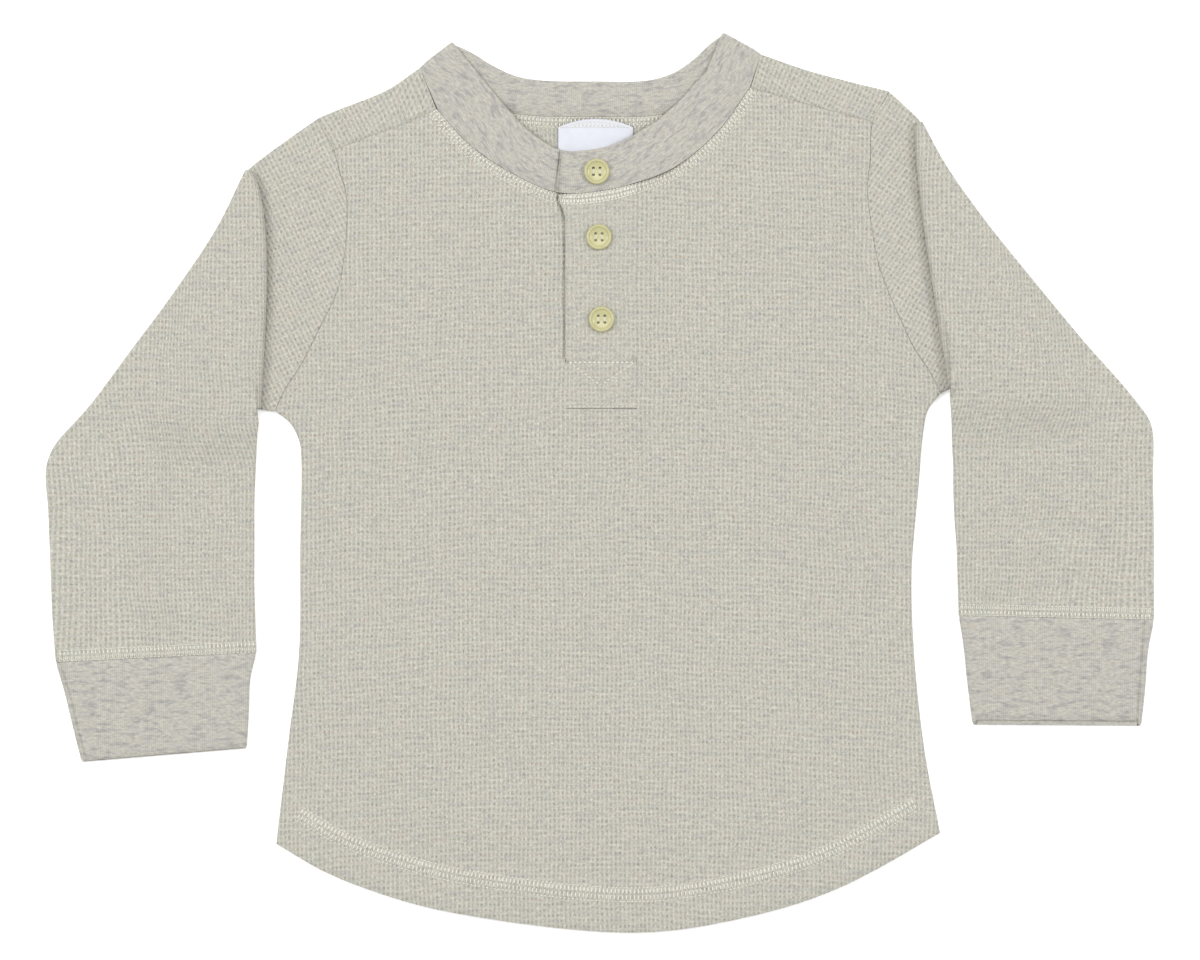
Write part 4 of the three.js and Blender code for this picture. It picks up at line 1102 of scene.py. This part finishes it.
def thread_material(name, colour):
    """Spun polyester thread: pale, with a slight gloss and fine twist."""
    def build(tree):
        place = add(tree, "TexCoord").outputs["Object"]
        twist = add(tree, "TexNoise", {"Vector": place, "Scale": 1800.0, "Detail": 2.0})
        bump = add(tree, "Bump", {"Height": twist, "Strength": 0.5, "Distance": 0.05 * MM})
        return {"Base Color": toned(tree, tuple(colour), twist, (0.3, 0.7), (0.9, 1.06)),
                "Roughness": 0.65, "IOR": 1.5, "Sheen Weight": 0.1, "Normal": bump}
    return surface(name, build)


def tape_material(name, colour):
    """Woven satin label tape: smooth white with a fine crosswise weave."""
    def build(tree):
        place = add(tree, "UVMap", uv_map="weave")
        axes = add(tree, "SeparateXYZ", {0: place})
        weft = wave(tree, axes.outputs["Y"], 0.5, "SINE")
        cloudy = add(tree, "TexNoise", {"Vector": place, "Scale": 0.25, "Detail": 2.0})
        bump = add(tree, "Bump", {"Height": weft, "Strength": 0.4, "Distance": 0.04 * MM})
        return {"Base Color": toned(tree, tuple(colour), cloudy, (0.3, 0.7), (0.95, 1.0)),
                "Roughness": 0.5, "IOR": 1.5, "Normal": bump}
    return surface(name, build)


def resin_material(name, colour):
    """Cast polyester resin, tumbled to a soft polish: creamy yellow with faint clouds."""
    def build(tree):
        place = add(tree, "TexCoord").outputs["Object"]
        cloudy = add(tree, "TexNoise", {"Vector": place, "Scale": 260.0, "Detail": 2.0})
        return {"Base Color": toned(tree, tuple(colour), cloudy, (0.3, 0.7), (0.94, 1.05)),
                "Roughness": 0.2, "IOR": 1.54, "Subsurface Weight": 0.1, "Subsurface Scale": 0.001}
    return surface(name, build)


def paper_material(name):
    """Matt white paper: an even, faintly grained ground."""
    def build(tree):
        place = add(tree, "TexCoord").outputs["Object"]
        grain = add(tree, "TexNoise", {"Vector": place, "Scale": 900.0, "Detail": 2.0})
        bump = add(tree, "Bump", {"Height": grain, "Strength": 0.1, "Distance": 0.0001})
        return {"Base Color": linear("#FFFFFF"), "Roughness": 0.95, "Specular IOR Level": 0.1,
                "Emission Color": linear("#FFFFFF"), "Emission Strength": 0.25, "Normal": bump}
    return surface(name, build)


def knit_of(context, kind):
    """The shirt's finish of that kind, made from what the panel shows when it is first asked for."""
    sizes, colours = context.scene.shirt_sizes, context.scene.shirt_colours

    def yarns(*names):
        return [tuple(getattr(colours, name)) for name in names]

    yarn = yarns("beige_fibre", "warm_fibre", "knit", "grey_fibre")
    fine = yarns("beige_jersey", "warm_jersey", "jersey", "grey_jersey")
    makers = {
        # The last number sets the painted shade in the pits and the painted light on the ribs; the pressed
        # knit gets less.
        "waffle knit": lambda n: waffle_material(n, yarn, sizes, depth=0.4, painted_shade=0.24),
        "pressed waffle knit": lambda n: waffle_material(n, yarn, sizes, depth=0.4, painted_shade=0.17),
        "cotton jersey": lambda n: jersey_material(n, fine),
        "sewing thread": lambda n: thread_material(n, colours.thread),
        "label tape": lambda n: tape_material(n, colours.label),
        "cast resin": lambda n: resin_material(n, colours.button),
    }
    return bpy.data.materials.get(kind) or makers[kind](kind)


def size_property(name, description, default, least):
    """A length that the panel shows."""
    return FloatProperty(name=name, description=description, default=default, min=least, unit="LENGTH",
                         precision=4)


def colour_property(name, description, code):
    """A colour that the panel shows."""
    return FloatVectorProperty(name=name, description=description, subtype="COLOR", size=4,
                               default=linear(code), min=0, max=1)


class ShirtSizes(bpy.types.PropertyGroup):
    """Sizes of the knit, the sewing and the buttons."""

    column_pitch: size_property("Column pitch", "Width of one waffle", 0.0020, 0.001)
    row_pitch: size_property("Row pitch", "Height of one waffle", 0.0026, 0.001)
    stitch: size_property("Stitch", "Length of one stitch of the coverstitching", 0.0018, 0.001)
    button: size_property("Button", "Diameter of a button", 0.0118, 0.008)


class ShirtColours(bpy.types.PropertyGroup):
    """Colours of the yarns, the thread, the label and the buttons."""

    knit: colour_property("Knit", "Waffle knit's yarn", "#BAB8AD")
    jersey: colour_property("Jersey", "Neckband's and cuffs' yarn", "#B3B1A9")
    warm_fibre: colour_property("Warm fibre", "The waffle knit's cream fibres", "#BDBBAF")
    beige_fibre: colour_property("Beige fibre", "The waffle knit's beige fibres", "#BDB7AC")
    grey_fibre: colour_property("Grey fibre", "The waffle knit's grey fibres", "#B6B4AC")
    warm_jersey: colour_property("Warm jersey", "The jersey's cream fibres", "#BAB8AE")
    beige_jersey: colour_property("Beige jersey", "The jersey's beige fibres", "#B8B2A8")
    grey_jersey: colour_property("Grey jersey", "The jersey's grey fibres", "#A5A29E")
    thread: colour_property("Thread", "Sewing thread", "#E5E4D8")
    label: colour_property("Label", "Label tape", "#DBDDE6")
    button: colour_property("Buttons", "Resin of the buttons", "#C2BE8F")


def laid(context, piece, kind, slot, node, flat, **more):
    dressed(piece, knit_of(context, kind), slot, node)


class SHIRT_OT_back(bpy.types.Operator):
    """Lays down the back, with its shoulders folded forward"""
    bl_idname = "shirt.back"
    bl_label = "Back"

    def execute(self, context):
        laid(context, back_panel(), "waffle knit", "waffle_knit", "back", (0.31, 0.40), area=0.107)
        return {"FINISHED"}


class SHIRT_OT_front(bpy.types.Operator):
    """Lays the front on the back, rolled round its side edges"""
    bl_idname = "shirt.front"
    bl_label = "Front"

    def execute(self, context):
        laid(context, front_panel(), "waffle knit", "waffle_knit", "front", (0.31, 0.39), area=0.100,
             rests_on=["back_knit"])
        return {"FINISHED"}


class SHIRT_OT_sleeves(bpy.types.Operator):
    """Pleats each sleeve at its head and lays it beside the body"""
    bl_idname = "shirt.sleeves"
    bl_label = "Sleeves"

    def execute(self, context):
        for side in SLEEVES:
            laid(context, sleeve(side), "waffle knit", "waffle_knit", f"sleeve_{side}", (0.28, 0.28),
                 area=0.046)
        return {"FINISHED"}


class SHIRT_OT_cuffs(bpy.types.Operator):
    """Adds the doubled jersey cuffs"""
    bl_idname = "shirt.cuffs"
    bl_label = "Cuffs"

    def execute(self, context):
        for side in CUFFS:
            laid(context, cuff(side), "cotton jersey", "jersey", f"cuff_{side}", (0.175, 0.046),
                 rests_on=[f"sleeve_{side}_knit"])
        return {"FINISHED"}


class SHIRT_OT_neckband(bpy.types.Operator):
    """Runs the neckband round the neck to its overlap"""
    bl_idname = "shirt.neckband"
    bl_label = "Neckband"

    def execute(self, context):
        laid(context, neckband(), "cotton jersey", "jersey", "neckband", (0.43, 0.019),
             rests_on=["back_knit", "front_knit"])
        return {"FINISHED"}


class SHIRT_OT_plackets(bpy.types.Operator):
    """Adds both placket strips"""
    bl_idname = "shirt.plackets"
    bl_label = "Plackets"

    def execute(self, context):
        inset = AIR + 0.05
        under = placket("placket_under_knit", FRONT_OUT - KNIT / 2, SLOT["left"] + inset,
                        SLOT["right"] - inset, PLACKET["slot_foot"] + inset, 0)
        laid(context, under, "pressed waffle knit", "placket_knit", "placket_under", (0.032, 0.079),
             rests_on=["back_knit"])
        upper = placket("placket_upper_knit", PLACKET_LEVEL, PLACKET["left"], PLACKET["right"],
                        PLACKET["foot"], PLACKET["flare"])
        laid(context, upper, "pressed waffle knit", "placket_knit", "placket_upper", (0.033, 0.100),
             rests_on=["placket_under_knit", "front_knit"])
        return {"FINISHED"}


class SHIRT_OT_label(bpy.types.Operator):
    """Adds the blank label inside the neck"""
    bl_idname = "shirt.label"
    bl_label = "Label"

    def execute(self, context):
        laid(context, label(), "label tape", "label_tape", "label", (0.034, 0.018), rests_on=["back_knit"])
        return {"FINISHED"}


class SHIRT_OT_buttons(bpy.types.Operator):
    """Sews on the three buttons"""
    bl_idname = "shirt.buttons"
    bl_label = "Buttons"

    def execute(self, context):
        diameter = context.scene.shirt_sizes.button / MM
        for k, (x, y) in enumerate(BUTTONS, start=1):
            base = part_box(f"button_{k}")[0].z / MM
            piece = button(f"button_{k}_resin", diameter, (x, y, base))
            dressed(piece, knit_of(context, "cast resin"), "button_resin", f"button_{k}")
            thread = stitches(f"button_{k}_thread", button_thread, x, y, base)
            dressed(thread, knit_of(context, "sewing thread"))
        return {"FINISHED"}


class SHIRT_OT_sewing(bpy.types.Operator):
    """Adds the coverstitching, the placket's box and the topstitching"""
    bl_idname = "shirt.sewing"
    bl_label = "Sewing"

    def execute(self, context):
        pitch = context.scene.shirt_sizes.stitch / MM
        for name, build, *more in (("hem", hem_stitches), ("neck", neck_stitches),
                                   ("back_neck", back_neck_stitches), ("placket", placket_stitches),
                                   ("label", label_stitches), ("cuff_left", cuff_stitches, "left"),
                                   ("cuff_right", cuff_stitches, "right")):
            piece = stitches(f"{name}_stitching", build, pitch, *more)
            dressed(piece, knit_of(context, "sewing thread"))
        return {"FINISHED"}


class SHIRT_OT_stage(bpy.types.Operator):
    """Sets the pale floor, the soft light and the camera straight above"""
    bl_idname = "shirt.stage"
    bl_label = "Stage"

    def execute(self, context):
        scene = context.scene
        bm = bmesh.new()
        bmesh.ops.create_grid(bm, x_segments=1, y_segments=1, size=4)
        bmesh.ops.translate(bm, verts=bm.verts[:], vec=(0, 0, -0.0004))
        floor = finished("floor", bm)
        floor.data.materials.append(paper_material("matt white paper"))
        world = bpy.data.worlds.new("soft studio")
        world.use_nodes = True
        backdrop = world.node_tree.nodes["Background"]
        backdrop.inputs["Color"].default_value = linear("#FFFFFF")
        backdrop.inputs["Strength"].default_value = 0.6
        scene.world = world
        for name, place, size, power in (("overhead", (-0.3, 1.35, 3.3), 2.25, 33.5),
                                         ("left", (-2.1, 0.5, 2.6), 1.0, 30),
                                         ("right", (2.1, 0.5, 2.6), 1.0, 30)):
            lamp = bpy.data.lights.new(name, "AREA")
            lamp.shape, lamp.size, lamp.energy = "DISK", size, power
            holder = bpy.data.objects.new(name, lamp)
            holder.location = place
            holder.rotation_euler = (-Vector(place)).to_track_quat("-Z", "Y").to_euler()
            scene.collection.objects.link(holder)
        camera = bpy.data.cameras.new("straight above")
        distance, width = 3.0, 0.552
        camera.sensor_width = 36
        camera.lens = camera.sensor_width * distance / width
        camera.clip_end = 20
        holder = bpy.data.objects.new("camera", camera)
        holder.location = (0, 0.00184, distance + 0.003)
        scene.collection.objects.link(holder)
        scene.camera = holder
        scene.view_settings.view_transform = "Standard"
        return {"FINISHED"}


STEPS = (SHIRT_OT_back, SHIRT_OT_front, SHIRT_OT_sleeves, SHIRT_OT_cuffs, SHIRT_OT_neckband,
         SHIRT_OT_plackets, SHIRT_OT_label, SHIRT_OT_buttons, SHIRT_OT_sewing, SHIRT_OT_stage)


class SHIRT_PT_sidebar(bpy.types.Panel):
    """Sizes, colours and the steps that build the shirt"""
    bl_idname = "SHIRT_PT_sidebar"
    bl_label = "Henley shirt"
    bl_space_type = "VIEW_3D"
    bl_region_type = "UI"
    bl_category = "Shirt"

    def draw(self, context):
        for group in (context.scene.shirt_sizes, context.scene.shirt_colours):
            box = self.layout.box()
            for name in group.bl_rna.properties.keys():
                if name not in {"rna_type", "name"}:
                    box.prop(group, name)
        for step in STEPS:
            self.layout.operator(step.bl_idname)


CLASSES = (ShirtSizes, ShirtColours, *STEPS, SHIRT_PT_sidebar)


def register():
    for item in CLASSES:
        bpy.utils.register_class(item)
    bpy.types.Scene.shirt_sizes = PointerProperty(type=ShirtSizes)
    bpy.types.Scene.shirt_colours = PointerProperty(type=ShirtColours)


def unregister():
    del bpy.types.Scene.shirt_colours
    del bpy.types.Scene.shirt_sizes
    for item in reversed(CLASSES):
        bpy.utils.unregister_class(item)


def main():
    register()
    for step in STEPS:
        group, name = step.bl_idname.split(".")
        getattr(getattr(bpy.ops, group), name)()


if __name__ == "__main__":
    main()
